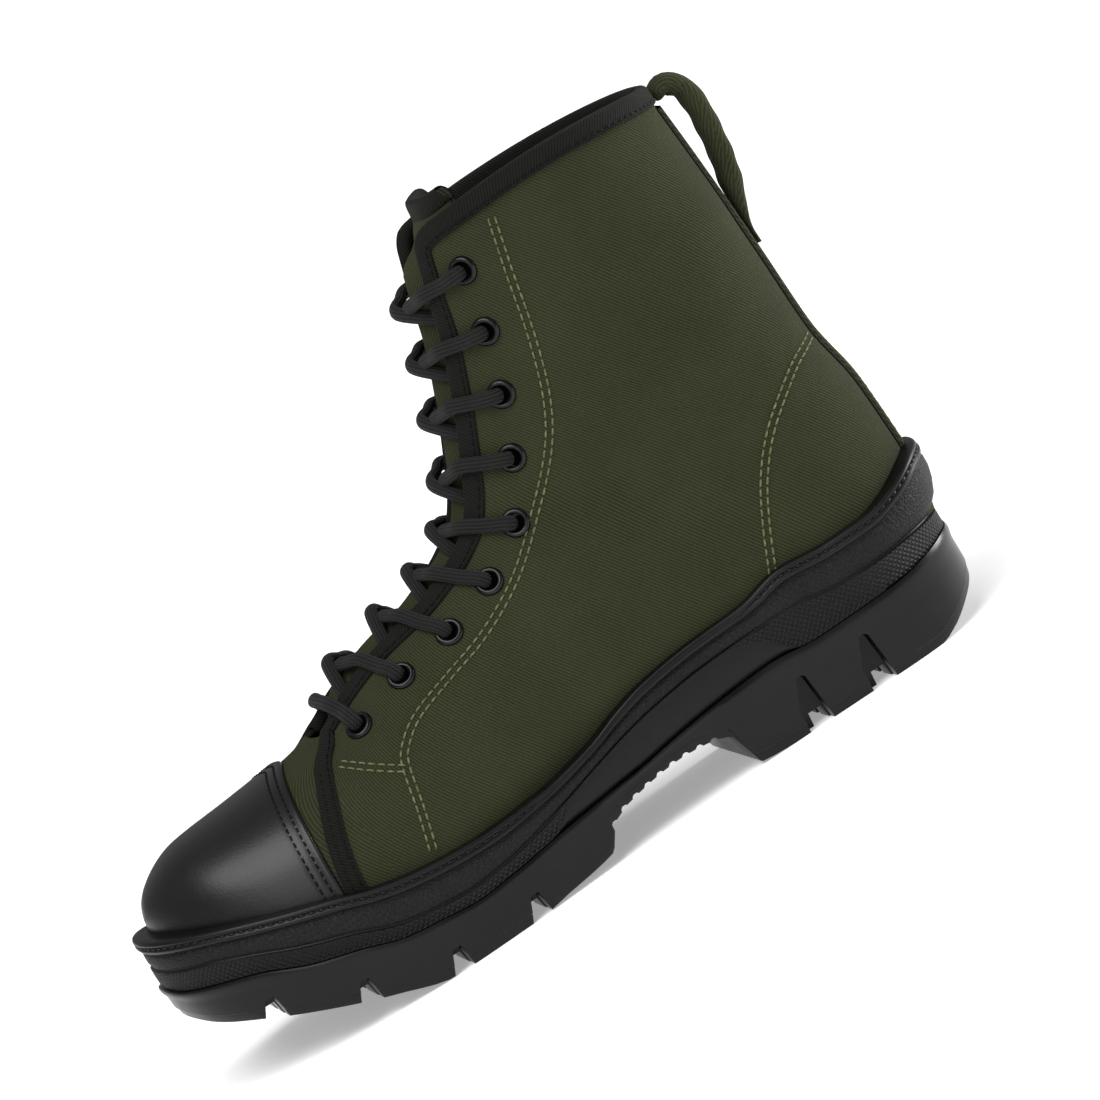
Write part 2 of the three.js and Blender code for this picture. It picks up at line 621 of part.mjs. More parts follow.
// A bar across the sole, from its outline in the side view
function crossBar(outline, width, middle = 0) {
  const shape = new THREE.Shape(outline.map(([x, z]) => new THREE.Vector2(x, z)));
  const geometry = new THREE.ExtrudeGeometry(shape, { depth: width, bevelEnabled: false, steps: 1 });
  geometry.rotateX(Math.PI / 2);
  geometry.translate(0, middle + width / 2, 0);
  return toSolid(geometry);
}

function outsole() {
  const part = (x) => soleLine('part', x);
  const levels = [
    { side: -1.2, rear: -1.0, z: treadHeight },
    { side: 0.2, rear: 0, z: (x) => Math.min(treadHeight(x) + 1.6, mix(treadHeight(x), part(x), 0.3)) },
    { side: 0.5, rear: 0.2, z: (x) => mix(treadHeight(x), part(x), 0.62) },
    { side: 1.3, rear: 0.9, z: (x) => mix(treadHeight(x), part(x), 0.85) },
    { side: 1.1, rear: 0.6, z: part },
  ];
  let sole = soleStack(levels);
  const below = -5;
  const reach = ballWidth + 20;
  const forefootGaps = [0.613, 0.716, 0.818, 0.911];
  for (const share of forefootGaps) {
    const x = share * length;
    const top = treadHeight(x) + lugDepth;
    const floor = top - lugDepth - 6;
    sole = sole.subtract(crossBar([[x - 2.5, floor], [x - 1.6, top], [x + 4.4, top], [x + 9, floor]], reach));
  }
  for (const share of [0.235, 0.152]) {
    const x = share * length;
    const deep = 0.36 * soleHeight;
    const edgeReach = heelWidth * 0.3;
    for (const side of [1, -1]) {
      const notch = [[x - 2, below], [x + 0.6, deep], [x + 2.4, deep], [x + 6, below]];
      sole = sole.subtract(crossBar(notch, edgeReach, side * (heelWidth / 2 - edgeReach / 2 + 2)));
    }
    sole = sole.subtract(crossBar([[x - 2, below], [x - 1, lugDepth], [x + 4, lugDepth], [x + 5, below]], reach));
  }
  const grooveWidth = 5;
  for (const run of [{ from: 0.585, to: 0.955, y: 0.17 }, { from: 0.03, to: 0.32, y: 0.14 }]) {
    const xs = steps(run.from, run.to, 7).map((share) => share * length);
    const roof = xs.map((x) => [x, treadHeight(x) + lugDepth]);
    const outline = [[xs[0], below], ...roof, [xs.at(-1), below]];
    for (const side of [1, -1]) sole = sole.subtract(crossBar(outline, grooveWidth, side * run.y * ballWidth));
  }
  const ribs = 9;
  for (let i = 0; i < ribs; i += 1) {
    const x = 0.356 * length + i * ribPitch;
    const z = treadHeight(x);
    sole = sole.subtract(crossBar([[x - 1.2, z - 3], [x - 0.7, z + 1.3], [x + 0.7, z + 1.3], [x + 1.2, z - 3]], reach));
  }
  return fromSolid(sole);
}

// Insole, inside the upper's wall
function insole() {
  const rows = upperRows().filter((t) => t > 0 && t <= cornerRow);
  const inset = wall + clearance * 3;
  const edge = (side, lift) => rows.map((t, i) => {
    const point = skin(t, side, 0);
    const before = skin(rows[Math.max(0, i - 1)], side, 0);
    const after = skin(rows[Math.min(rows.length - 1, i + 1)], side, 0);
    const along = after.sub(before).setZ(0).normalize();
    const x = point.x - along.y * inset * side;
    const half = Math.max(0.4, (point.y + along.x * inset * side) * side);
    return new THREE.Vector3(x, side * half, point.z + lift);
  });
  const [low, high] = [clearance, clearance + insoleThickness];
  const geometry = sheet([
    { rows: [edge(1, low), edge(1, high)], flip: false },
    { rows: [edge(-1, low), edge(-1, high)], flip: true },
    { rows: edge(1, low).map((point, i) => [point, edge(-1, low)[i]]), flip: false },
    { rows: edge(1, high).map((point, i) => [point, edge(-1, high)[i]]), flip: true },
    { rows: [[edge(1, low)[0], edge(1, high)[0]], [edge(-1, low)[0], edge(-1, high)[0]]], flip: false },
    { rows: [[edge(1, low).at(-1), edge(1, high).at(-1)], [edge(-1, low).at(-1), edge(-1, high).at(-1)]], flip: true },
  ]);
  return volume(geometry) < 0 ? flipped(geometry) : geometry;
}

// Tongue: under the facings, flatter than the ridge, and past the collar at the top
function tonguePoint(t, y) {
  const side = y < 0 ? -1 : 1;
  const sink = throatHalfGap + 1;
  const level = Math.min(t, 1);
  const held = (Math.abs(y) ** 3 + sink ** 3) ** (1 / 3);
  const angle = frontAngle(level, side, held);
  const point = skin(level, side, angle);
  const normal = skinNormal(Math.min(level, 0.99), side, Math.min(angle, 2.9));
  normal.y = 0;
  point.y = y;
  point.addScaledVector(normal.normalize(), -wall - tapeThickness - clearance * 3);
  if (t > 1) {
    const rise = ((t - 1) / 0.06) * tongueRise;
    point.add(new THREE.Vector3(-rise * 0.75, 0, rise));
  }
  return point;
}

function tongueSheet(fromRow, toRow, count) {
  const rows = steps(fromRow, toRow, count).map((t) => {
    const crown = mix(1, 0.86, clamp((t - 1) / 0.06, 0, 1) ** 2);
    const half = tongueHalfWidth * mix(0.62, 1, ease((t - throatRow) / 0.4)) * crown;
    return steps(-1, 1, 8).map((f) => tonguePoint(t, f * half));
  });
  return sheet([{ rows, flip: false }]);
}

function tongue() {
  return shell(tongueSheet(throatRow + 0.012, 1.06, 18), 0, -tongueThickness);
}

// Eyelets sit at one distance from the facing's edge, evenly along it
function eyeletPlaces(side) {
  const count = 60;
  const line = steps(throatRow + throatTurn * 2.7, 0.953, count).map((t) => {
    const edge = { t, angle: edgeAngle(t, side) };
    const along = skin(t - 0.01, side, edgeAngle(t - 0.01, side)).sub(skin(t + 0.01, side, edgeAngle(t + 0.01, side)));
    return inward(edge, side, along.normalize(), eyeletInset);
  });
  const points = line.map(({ t, angle }) => skin(t, side, angle));
  const reach = [0];
  for (let i = 1; i <= count; i += 1) reach.push(reach[i - 1] + points[i].distanceTo(points[i - 1]));
  return steps(reach[count], 0, eyeletCount - 1).map((distance) => {
    let i = 0;
    while (i < count - 1 && reach[i + 1] < distance) i += 1;
    const f = clamp((distance - reach[i]) / (reach[i + 1] - reach[i]), 0, 1);
    return { t: mix(line[i].t, line[i + 1].t, f), angle: mix(line[i].angle, line[i + 1].angle, f) };
  });
}

function placeOn(geometry, point, direction) {
  const turn = new THREE.Quaternion().setFromUnitVectors(new THREE.Vector3(0, 1, 0), direction);
  geometry.applyQuaternion(turn);
  geometry.translate(point.x, point.y, point.z);
  return geometry;
}

function eyelet(place, side) {
  const profile = [
    [eyeletHole, clearance],
    [eyeletRadius, clearance],
    [(eyeletRadius + eyeletHole) / 2 + 0.3, clearance + eyeletHeight],
    [eyeletHole, clearance + eyeletHeight * 0.6],
    [eyeletHole, clearance],
  ].map(([r, y]) => new THREE.Vector2(r, y));
  const ring = new THREE.LatheGeometry(profile, 10);
  const normal = skinNormal(place.t, side, place.angle);
  const point = skin(place.t, side, place.angle);
  return fromSolid(toSolid(placeOn(ring, point, normal)));
}

// Lace: one joined crossing between each two pairs of eyelets
function laceStrand(from, to, side) {
  const low = skin(from.t, side, from.angle);
  const lowNormal = skinNormal(from.t, side, from.angle);
  const edgeFrom = { t: mix(from.t, to.t, 0.3), angle: 0 };
  edgeFrom.angle = edgeAngle(edgeFrom.t, side);
  const edge = skin(edgeFrom.t, side, edgeFrom.angle);
  const edgeNormal = skinNormal(edgeFrom.t, side, edgeFrom.angle);
  const lift = clearance * 4.5 + tapeThickness + laceRadius;
  const start = low.clone().addScaledVector(lowNormal, lift + eyeletHeight);
  const over = edge.clone().addScaledVector(edgeNormal, lift + 1);
  start.lerp(over, 0.18);
  const middleRow = mix(from.t, to.t, 0.55);
  const middle = tonguePoint(middleRow, 0);
  const front = skinNormal(middleRow, 1, 3.0);
  middle.addScaledVector(front, tongueThickness + laceRadius + 3.4);
  const farRow = mix(from.t, to.t, 0.82);
  const far = tonguePoint(farRow, -side * (gapHalf(farRow) - laceRadius * 3.1));
  far.addScaledVector(front, laceRadius + 1);
  const path = new THREE.CatmullRomCurve3([start, over, middle, far]);
  const section = new THREE.Shape();
  section.absarc(0, 0, laceRadius, 0, Math.PI * 2);
  return toSolid(new THREE.ExtrudeGeometry(section, { steps: 6, curveSegments: 3, extrudePath: path }));
}

function laceCrossing(index, places) {
  const strands = [1, -1].map((side) => {
    const line = places[side];
    return laceStrand(line[index], line[index + 1], side);
  });
  return fromSolid(strands[0].add(strands[1]));
}

// The bar of the lace over the lowest pair of eyelets
function laceBar(places) {
  const lift = clearance * 4.5 + tapeThickness + laceRadius;
  const reach = (side) => {
    const { t, angle } = places[side].at(-1);
    const edge = edgeAngle(t, side);
    const start = skin(t, side, angle).addScaledVector(skinNormal(t, side, angle), lift + eyeletHeight);
    const over = skin(t, side, edge).addScaledVector(skinNormal(t, side, edge), lift + 0.6);
    return [start.lerp(over, 0.18), over];
  };
  const row = places[1].at(-1).t;
  const middle = tonguePoint(row, 0);
  middle.addScaledVector(skinNormal(row, 1, 3.0), tongueThickness + laceRadius + 3.4);
  const path = new THREE.CatmullRomCurve3([...reach(1), middle, ...reach(-1).reverse()]);
  const section = new THREE.Shape();
  section.absarc(0, 0, laceRadius, 0, Math.PI * 2);
  return fromSolid(toSolid(new THREE.ExtrudeGeometry(section, { steps: 8, curveSegments: 3, extrudePath: path })));
}

// Pull loop: a thick soft strap that bows out behind the collar, thin where it is sewn on below
function pullLoop() {
  const back = (z) => curve(backLine, ['z', 'x'], z) * length;
  const seat = clearance * 2 + 1.3 + loopEnd / 2;
  const line = [
    [back(0.719) - seat, 0.719], [back(0.745) - seat - 1.2, 0.745], [-0.0075 * length, 0.779],
    [-0.0133 * length, 0.827], [-0.0163 * length, 0.875], [-0.0176 * length, 0.913],
    [-0.0143 * length, 0.945], [-0.0033 * length, 0.9625], [0.0166 * length, 0.966],
  ].map(([x, z]) => new THREE.Vector2(x, z * shaftHeight));
  const spine = new THREE.SplineCurve(line);
  const count = 18;
  const left = [];
  const right = [];
  for (let i = 0; i <= count; i += 1) {
    const point = spine.getPoint(i / count);
    const along = spine.getTangent(i / count);
    const normal = new THREE.Vector2(-along.y, along.x);
    const half = mix(loopEnd, loopThickness, ease(i / 5)) / 2;
    left.push(point.clone().addScaledVector(normal, half));
    right.push(point.clone().addScaledVector(normal, -half));
  }
  const shape = new THREE.Shape([...left, ...right.reverse()]);
  const bevel = loopEnd * 0.33;
  const geometry = new THREE.ExtrudeGeometry(shape, {
    depth: loopWidth - bevel * 2,
    bevelEnabled: true,
    bevelThickness: bevel,
    bevelSize: bevel,
    bevelOffset: -bevel,
    bevelSegments: 1,
  });
  geometry.rotateX(Math.PI / 2);
  geometry.translate(0, loopWidth / 2 - bevel, 0);
  return fromSolid(toSolid(geometry));
}

// Assembly
const boot = new THREE.Group();
boot.position.x = -originX;

function addPart(name, geometry, material) {
  const mesh = new THREE.Mesh(geometry, material);
  mesh.name = name;
  boot.add(mesh);
}

addPart('outsole', outsole(), rubber);
addPart('midsole', midsole(), rubber);
addPart('insole', insole(), lining);
addPart('upper', upper(), canvas);
addPart('toe_cap', toeCap(), leather);
addPart('backstay', backstay(), canvas);
addPart('tongue', tongue(), canvas);
addPart('binding_left', edgeTape(1), blackCanvas);
addPart('binding_right', edgeTape(-1), blackCanvas);
addPart('pull_loop', pullLoop(), canvas);

const places = { 1: eyeletPlaces(1), [-1]: eyeletPlaces(-1) };
for (let i = 0; i < eyeletCount; i += 1) {
  addPart(`eyelet_left_${i + 1}`, eyelet(places[1][i], 1), enamel);
  addPart(`eyelet_right_${i + 1}`, eyelet(places[-1][i], -1), enamel);
}
for (let i = 0; i < eyeletCount - 1; i += 1) addPart(`lace_crossing_${i + 1}`, laceCrossing(i, places), blackCanvas);
addPart('lace_bar', laceBar(places), blackCanvas);

export default boot;
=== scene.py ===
"""Looks of the jungle boot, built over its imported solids.

The boot's functions work in millimetres in the part's own terms: x from the rear of the sole to the toe,
y to the wearer's left, z up from the floor. Lengths in the tables are shares: x of LENGTH, z of SHAFT_HEIGHT
or SOLE_HEIGHT. Meshes are made in metres, with the origin under the heel.
"""

import bisect
import math
from functools import lru_cache

import bmesh
import bpy
import numpy as np
from mathutils import Matrix, Vector
from mathutils.bvhtree import BVHTree


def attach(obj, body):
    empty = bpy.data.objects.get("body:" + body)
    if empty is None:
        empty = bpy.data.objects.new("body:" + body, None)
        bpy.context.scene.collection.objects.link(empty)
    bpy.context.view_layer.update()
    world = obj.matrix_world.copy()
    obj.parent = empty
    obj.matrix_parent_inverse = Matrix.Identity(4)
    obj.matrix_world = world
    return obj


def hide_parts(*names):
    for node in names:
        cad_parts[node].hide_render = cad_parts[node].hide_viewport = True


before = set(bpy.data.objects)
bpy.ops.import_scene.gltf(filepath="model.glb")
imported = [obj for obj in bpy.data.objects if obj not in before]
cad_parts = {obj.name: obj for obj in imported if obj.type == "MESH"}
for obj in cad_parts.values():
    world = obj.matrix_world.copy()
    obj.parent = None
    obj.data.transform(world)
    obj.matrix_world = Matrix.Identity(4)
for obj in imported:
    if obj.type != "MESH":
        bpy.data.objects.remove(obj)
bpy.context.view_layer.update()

# Driving sizes, in millimetres
LENGTH = 300
BALL_WIDTH = 109
HEEL_WIDTH = 75
FOOT_WIDTH = 98
ANKLE_WIDTH = 68
SHAFT_HEIGHT = 208
SOLE_HEIGHT = 50
WALL = 2.2
CLEARANCE = 0.3
CAP_THICKNESS = 1.3
CAP_REACH = 76
CAP_SEAMS = (2.6, 5.0)
TAPE_THICKNESS = 0.9
TAPE_WIDTH = 5.8
THROAT_HALF_GAP = 15
TONGUE_THICKNESS = 2.4
TONGUE_HALF_WIDTH = 26
TONGUE_RISE = 9
TONGUE_BULGE = 8
TONGUE_END = 1.06
EYELET_COUNT = 9
EYELET_INSET = 14.5
LACE_HALF_WIDTH = 2.5
LACE_HALF_THICKNESS = 1.8
LACE_GIRTH = 13.6
LOOP_WIDTH = 16
LOOP_THICKNESS = 7
LOOP_END = 1.8
LUG_DEPTH = 4.6
LUG_GAP = 8
NOTCH_REACH = 8
RIB_PITCH = 5.3
ORIGIN_X = 54
THROAT_ROW = 0.335
THROAT_TURN = 0.022
CORNER_ROW = 0.70
HEEL_ROW = 0.63
COLLAR_TURN = 0.018


# Small functions
def clamp(value, low, high):
    return min(high, max(low, value))


def mix(a, b, f):
    return a + (b - a) * f


def ease(value):
    f = clamp(value, 0, 1)
    return f * f * (3 - 2 * f)


def dome(f, power):
    return (1 - clamp(f, 0, 1) ** power) ** (1 / power)


def steps(start, end, count):
    return [mix(start, end, i / count) for i in range(count + 1)]


def unit(vector):
    return vector / max(np.linalg.norm(vector), 1e-9)


class Line:
    """A smooth line through the rows of a table that never overshoots them."""

    def __init__(self, xs, ys):
        self.xs = list(xs)
        self.ys = list(ys)
        pairs = range(len(self.xs) - 1)
        slopes = [(self.ys[i + 1] - self.ys[i]) / (self.xs[i + 1] - self.xs[i]) for i in pairs]
        inner = [2 * a * b / (a + b) if a * b > 0 else 0 for a, b in zip(slopes, slopes[1:])]
        self.slopes = slopes
        self.tangents = [slopes[0], *inner, slopes[-1]]

    def __call__(self, value):
        if value <= self.xs[0]:
            return self.ys[0]
        if value >= self.xs[-1]:
            return self.ys[-1]
        i = bisect.bisect_left(self.xs, value) - 1
        width = self.xs[i + 1] - self.xs[i]
        f = (value - self.xs[i]) / width
        before = self.tangents[i] - self.slopes[i]
        after = self.tangents[i + 1] - self.slopes[i]
        bend = f * (1 - f) * width * ((1 - f) * before - f * after)
        return self.ys[i] + self.slopes[i] * width * f + bend


def lines(columns, rows):
    """One line per column of a table, over its first column."""
    first = [row[0] for row in rows]
    return {name: Line(first, [row[k] for row in rows]) for k, name in enumerate(columns) if k}


# The upper's fan of rows, from the toe tip along the sole edge and up the back to the collar
fan = lines(
    ("t", "bx", "bz", "tx", "tz", "outer", "inner", "low", "m", "p", "bow"),
    [
        (0.00, 0.968, 0.230, 0.967, 0.298, 1.00, 1.00, 0.97, 0.22, 2.3, 0),
        (0.05, 0.961, 0.223, 0.960, 0.319, 1.00, 1.00, 0.97, 0.22, 2.3, 0),
        (0.10, 0.939, 0.205, 0.942, 0.343, 1.00, 1.00, 0.97, 0.22, 2.3, 0),
        (0.16, 0.893, 0.173, 0.898, 0.370, 1.01, 1.00, 0.97, 0.22, 2.3, 0),
        (0.23, 0.817, 0.137, 0.817, 0.380, 1.01, 1.00, 0.97, 0.21, 2.3, 0),
        (0.30, 0.733, 0.114, 0.740, 0.393, 1.01, 0.99, 0.97, 0.19, 2.2, 0),
        (0.36, 0.667, 0.109, 0.700, 0.414, 1.00, 0.94, 0.97, 0.17, 2.1, 0),
        (0.42, 0.593, 0.113, 0.665, 0.448, 0.95, 0.83, 0.94, 0.18, 2.0, 0),
        (0.48, 0.500, 0.127, 0.612, 0.482, 0.86, 0.74, 0.90, 0.22, 2.0, 0),
        (0.54, 0.383, 0.144, 0.556, 0.505, 0.78, 0.71, 0.89, 0.28, 2.0, 0),
        (0.60, 0.240, 0.158, 0.510, 0.532, 0.73, 0.71, 0.92, 0.33, 2.1, 0),
        (0.66, 0.093, 0.160, 0.477, 0.570, 0.70, 0.70, 0.96, 0.37, 2.1, 0),
        (0.70, -0.003, 0.160, 0.457, 0.608, 0.69, 0.69, 1.00, 0.40, 2.2, 0),
        (0.74, -0.011, 0.250, 0.438, 0.660, 0.69, 0.69, 1.00, 0.42, 2.2, 0),
        (0.79, -0.007, 0.404, 0.417, 0.716, 0.69, 0.69, 1.00, 0.44, 2.2, 0),
        (0.84, 0.008, 0.529, 0.398, 0.772, 0.70, 0.70, 1.00, 0.45, 2.2, 0),
        (0.89, 0.012, 0.673, 0.380, 0.830, 0.72, 0.72, 1.00, 0.46, 2.2, 0.002),
        (0.94, 0.018, 0.827, 0.364, 0.900, 0.75, 0.75, 1.00, 0.47, 2.2, 0.008),
        (1.00, 0.026, 0.978, 0.344, 0.982, 0.78, 0.78, 1.00, 0.48, 2.2, 0.024),
    ],
)


@lru_cache(maxsize=None)
def fan_row(t):
    return {name: line(t) for name, line in fan.items()}


back_rows = [fan_row(t) for t in steps(CORNER_ROW, 1, 40)]
back_line = Line([row["bz"] for row in back_rows], [row["bx"] for row in back_rows])


def body_half(t, side, rise):
    """Half width of the upper on one side, before its top and back close."""
    row = fan_row(t)
    share = row["outer"] if side > 0 else row["inner"]
    size = mix(FOOT_WIDTH, ANKLE_WIDTH / 0.69, ease((t - 0.5) / 0.3)) / 2
    toe_start = 0.71
    toe = (row["bx"] - toe_start) / (0.968 - toe_start)
    tip = dome(toe, 2 if side > 0 else 2.5) if toe > 0 else 1
    return size * share * tip * mix(row["low"], 1, ease(rise * 4))


def gap_half(t):
    """Half of the gap between the facings."""
    if t <= THROAT_ROW:
        return 0
    bottom = dome(1 - (t - THROAT_ROW) / THROAT_TURN, 2)
    top = 1 - dome((t - 1 + COLLAR_TURN) / COLLAR_TURN, 2) if t > 1 - COLLAR_TURN else 0
    return THROAT_HALF_GAP * bottom * mix(0.86, 1.12, (t - THROAT_ROW) / (1 - THROAT_ROW)) + 7 * top


def skin(t, side, angle):
    """A point of the upper's outer face: angle 0 at the base or back line, 180 degrees at the ridge."""
    row = fan_row(t)
    front = max(0, angle - math.pi / 2)
    if angle < math.pi / 2:
        s = row["m"] * (1 - math.cos(angle))
    else:
        s = row["m"] + (1 - row["m"]) * max(0, math.sin(front)) ** (2 / row["p"])
    x = mix(row["bx"], row["tx"], s) * LENGTH
    z = (mix(row["bz"], row["tz"], s) + row["bow"] * (4 if side > 0 else 1.2) * s * (1 - s)) * SHAFT_HEIGHT
    closing = max(0, math.cos(front)) ** (2 / row["p"])
    reach = 0.15 * LENGTH
    depth = x - back_line(z / SHAFT_HEIGHT) * LENGTH
    rear = 1
    if depth < reach:
        rear = 0 if angle == 0 and t >= CORNER_ROW else dome((reach - depth) / reach, 2.2)
    return np.array([x, side * body_half(t, side, s) * closing * rear, z])


def front_angle(t, side, y):
    """The angle where the surface is a given distance from the centre plane, in front."""
    share = clamp(y / body_half(t, side, 1), 0, 1) if y > 0 else 0
    return math.pi / 2 + math.acos(share ** (fan_row(t)["p"] / 2))


def back_angle(t, side, y):
    """The same at the back, by halving."""
    low, high = 0, math.pi / 2
    for _ in range(24):
        middle = (low + high) / 2
        if abs(skin(t, side, middle)[1]) < y:
            low = middle
        else:
            high = middle
    return (low + high) / 2


def edge_angle(t, side):
    return front_angle(t, side, gap_half(t))


def skin_normal(t, side, angle):
    dt, da = 0.004, 0.04
    along_t = skin(min(1, t + dt), side, angle) - skin(t - dt, side, angle)
    along_a = skin(t, side, min(math.pi, angle + da)) - skin(t, side, angle - da)
    return unit(np.cross(along_t, along_a)) * side


# Soft folds of the cloth, each a straight trough or ridge in the side view.
# side 0 is both sides; places are shares, width and depth are millimetres, and depth below 0 is a trough.
FOLDS = [
    (0, 0.06, 0.50, 0.20, 0.47, 7, -0.8),
    (0, 0.08, 0.56, 0.24, 0.55, 9, 0.7),
    (0, 0.24, 0.56, 0.38, 0.62, 8, -0.8),
    (0, 0.30, 0.50, 0.42, 0.55, 8, 0.6),
    (1, 0.05, 0.78, 0.24, 0.74, 10, 0.8),
    (1, 0.06, 0.70, 0.22, 0.66, 8, -0.6),
    (-1, 0.04, 0.72, 0.26, 0.77, 10, 0.8),
    (-1, 0.08, 0.64, 0.26, 0.68, 8, -0.6),
    (0, 0.42, 0.36, 0.52, 0.28, 8, 0.6),
    (0, 0.36, 0.30, 0.46, 0.24, 9, -0.6),
]


def relief(point, side):
    """How far the cloth stands proud of its plain surface."""
    total = 0
    for fold_side, x1, z1, x2, z2, width, depth in FOLDS:
        if fold_side and fold_side != side:
            continue
        start = np.array([x1 * LENGTH, z1 * SHAFT_HEIGHT])
        run = np.array([x2 * LENGTH, z2 * SHAFT_HEIGHT]) - start
        arm = point[[0, 2]] - start
        f = float(arm @ run / (run @ run))
        away = np.linalg.norm(arm - run * clamp(f, 0, 1)) / width
        if away < 2.5:
            total += depth * math.exp(-away * away)
    return total * ease((abs(point[1]) - 6) / 14)


def surface(t, side, angle, height=0.0):
    """A point of the cloth, at a height over it."""
    point = skin(t, side, angle)
    return point + skin_normal(min(t, 0.999), side, angle) * (relief(point, side) + height)


def inward(place, side, along, distance):
    """The place at a distance along the surface, at right angles to a direction."""
    t, angle = place
    normal = skin_normal(t, side, angle)
    want = unit(np.cross(normal, along)) * distance * side
    here = skin(t, side, angle)
    dt, da = -0.004, -0.03
    by_t = skin(t + dt, side, angle) - here
    by_a = skin(t, side, angle + da) - here
    a, b, c = by_t @ by_t, by_t @ by_a, by_a @ by_a
    d, e = want @ by_t, want @ by_a
    det = a * c - b * b
    return t + dt * (d * c - e * b) / det, angle + da * (a * e - b * d) / det


@lru_cache(maxsize=None)
def search_grid(side):
    places = [(t, angle) for t in steps(0.0, 0.999, 70) for angle in steps(0.02, math.pi, 30)]
    return places, np.array([skin(t, side, angle)[[0, 2]] for t, angle in places])


def find(x, z, side):
    """The place of the surface seen at x, z from the side, both as shares."""
    target = np.array([x * LENGTH, z * SHAFT_HEIGHT])
    places, seen = search_grid(side)
    t, angle = places[int(np.argmin(((seen - target) ** 2).sum(1)))]
    for _ in range(8):
        here = skin(t, side, angle)[[0, 2]]
        by_t = (skin(t + 0.002, side, angle)[[0, 2]] - here) / 0.002
        by_a = (skin(t, side, angle + 0.01)[[0, 2]] - here) / 0.01
        det = by_t[0] * by_a[1] - by_t[1] * by_a[0]
        if abs(det) < 1e-6:
            break
        miss = target - here
        t = clamp(t + (miss[0] * by_a[1] - miss[1] * by_a[0]) / det, 0.0, 0.999)
        angle = clamp(angle + (by_t[0] * miss[1] - by_t[1] * miss[0]) / det, 0.02, math.pi)
    return t, angle


# Meshes
def to_frame(points):
    return (np.asarray(points, float).reshape(-1, 3) - [ORIGIN_X, 0, 0]) * 0.001


def new_object(name, verts, faces, uvs=None, material_of_face=None, materials=(), smooth=True):
    mesh = bpy.data.meshes.new(name)
    mesh.from_pydata(to_frame(verts).tolist(), [], faces)
    if uvs is not None:
        layer = mesh.uv_layers.new(name="cloth")
        order = np.zeros(len(mesh.loops), int)
        mesh.loops.foreach_get("vertex_index", order)
        layer.data.foreach_set("uv", np.asarray(uvs, float)[order].ravel())
    for material in materials:
        mesh.materials.append(material)
    if material_of_face is not None:
        mesh.polygons.foreach_set("material_index", material_of_face)
    if smooth:
        mesh.shade_smooth()
    piece = bpy.data.objects.new(name, mesh)
    bpy.context.scene.collection.objects.link(piece)
    return piece


def grid_object(name, grids, materials, merge=0.02):
    """Rows by columns of points as one mesh. Each grid: points, uvs, flip, one material or one per row."""
    verts, uvs, faces, kinds = [], [], [], []
    for points, uv, flip, kind in grids:
        points = np.asarray(points, float)
        rows, across = points.shape[:2]
        start = len(verts)
        verts.extend(points.reshape(-1, 3))
        uvs.extend(np.asarray(uv, float).reshape(-1, 2))
        for i in range(rows - 1):
            for j in range(across - 1):
                a = start + i * across + j
                quad = (a, a + 1, a + across + 1, a + across)
                faces.append(quad[::-1] if flip else quad)
                kinds.append(kind[i] if isinstance(kind, (list, tuple)) else kind)
    piece = new_object(name, verts, faces, uvs, kinds, materials)
    weld(piece, merge)
    return piece


def weld(piece, distance):
    work = bmesh.new()
    work.from_mesh(piece.data)
    bmesh.ops.remove_doubles(work, verts=work.verts, dist=distance * 0.001)
    bmesh.ops.dissolve_degenerate(work, edges=work.edges, dist=1e-6)
    work.to_mesh(piece.data)
    work.free()


def apply_modifiers(piece):
    bpy.context.view_layer.update()
    shown = piece.evaluated_get(bpy.context.evaluated_depsgraph_get())
    mesh = bpy.data.meshes.new_from_object(shown)
    piece.modifiers.clear()
    piece.data = mesh
    return piece


def thicken(piece, thickness, inside):
    """Adds a wall behind the faces, with another material on its inside and edges."""
    solid = piece.modifiers.new("wall", "SOLIDIFY")
    solid.thickness = thickness * 0.001
    solid.offset = -1
    solid.material_offset = inside
    solid.material_offset_rim = inside
    return apply_modifiers(piece)


def flat_uv(points):
    """Cloth coordinates by the length of each row and column of a grid, in millimetres."""
    points = np.asarray(points, float)
    along = np.zeros(points.shape[:2])
    across = np.zeros(points.shape[:2])
    along[1:] = np.cumsum(np.linalg.norm(np.diff(points, axis=0), axis=2), axis=0)
    across[:, 1:] = np.cumsum(np.linalg.norm(np.diff(points, axis=1), axis=2), axis=1)
    middle = points.shape[1] // 2
    across -= across[:, middle:middle + 1]
    along = np.repeat(along[:, middle:middle + 1], points.shape[1], axis=1)
    return np.stack([across, along], axis=2)


def sweep_rings(rings):
    """Faces of a tube through rings of points, with its two ends closed."""
    across = len(rings[0])
    verts = [point for ring in rings for point in ring]
    faces = []
    for i in range(len(rings) - 1):
        for j in range(across):
            k = (j + 1) % across
            faces.append((i * across + j, i * across + k, (i + 1) * across + k, (i + 1) * across + j))
    faces.append(tuple(range(across))[::-1])
    faces.append(tuple((len(rings) - 1) * across + j for j in range(across)))
    return verts, faces


def fix_normals(piece):
    work = bmesh.new()
    work.from_mesh(piece.data)
    bmesh.ops.recalc_face_normals(work, faces=work.faces)
    work.to_mesh(piece.data)
    work.free()
    return piece


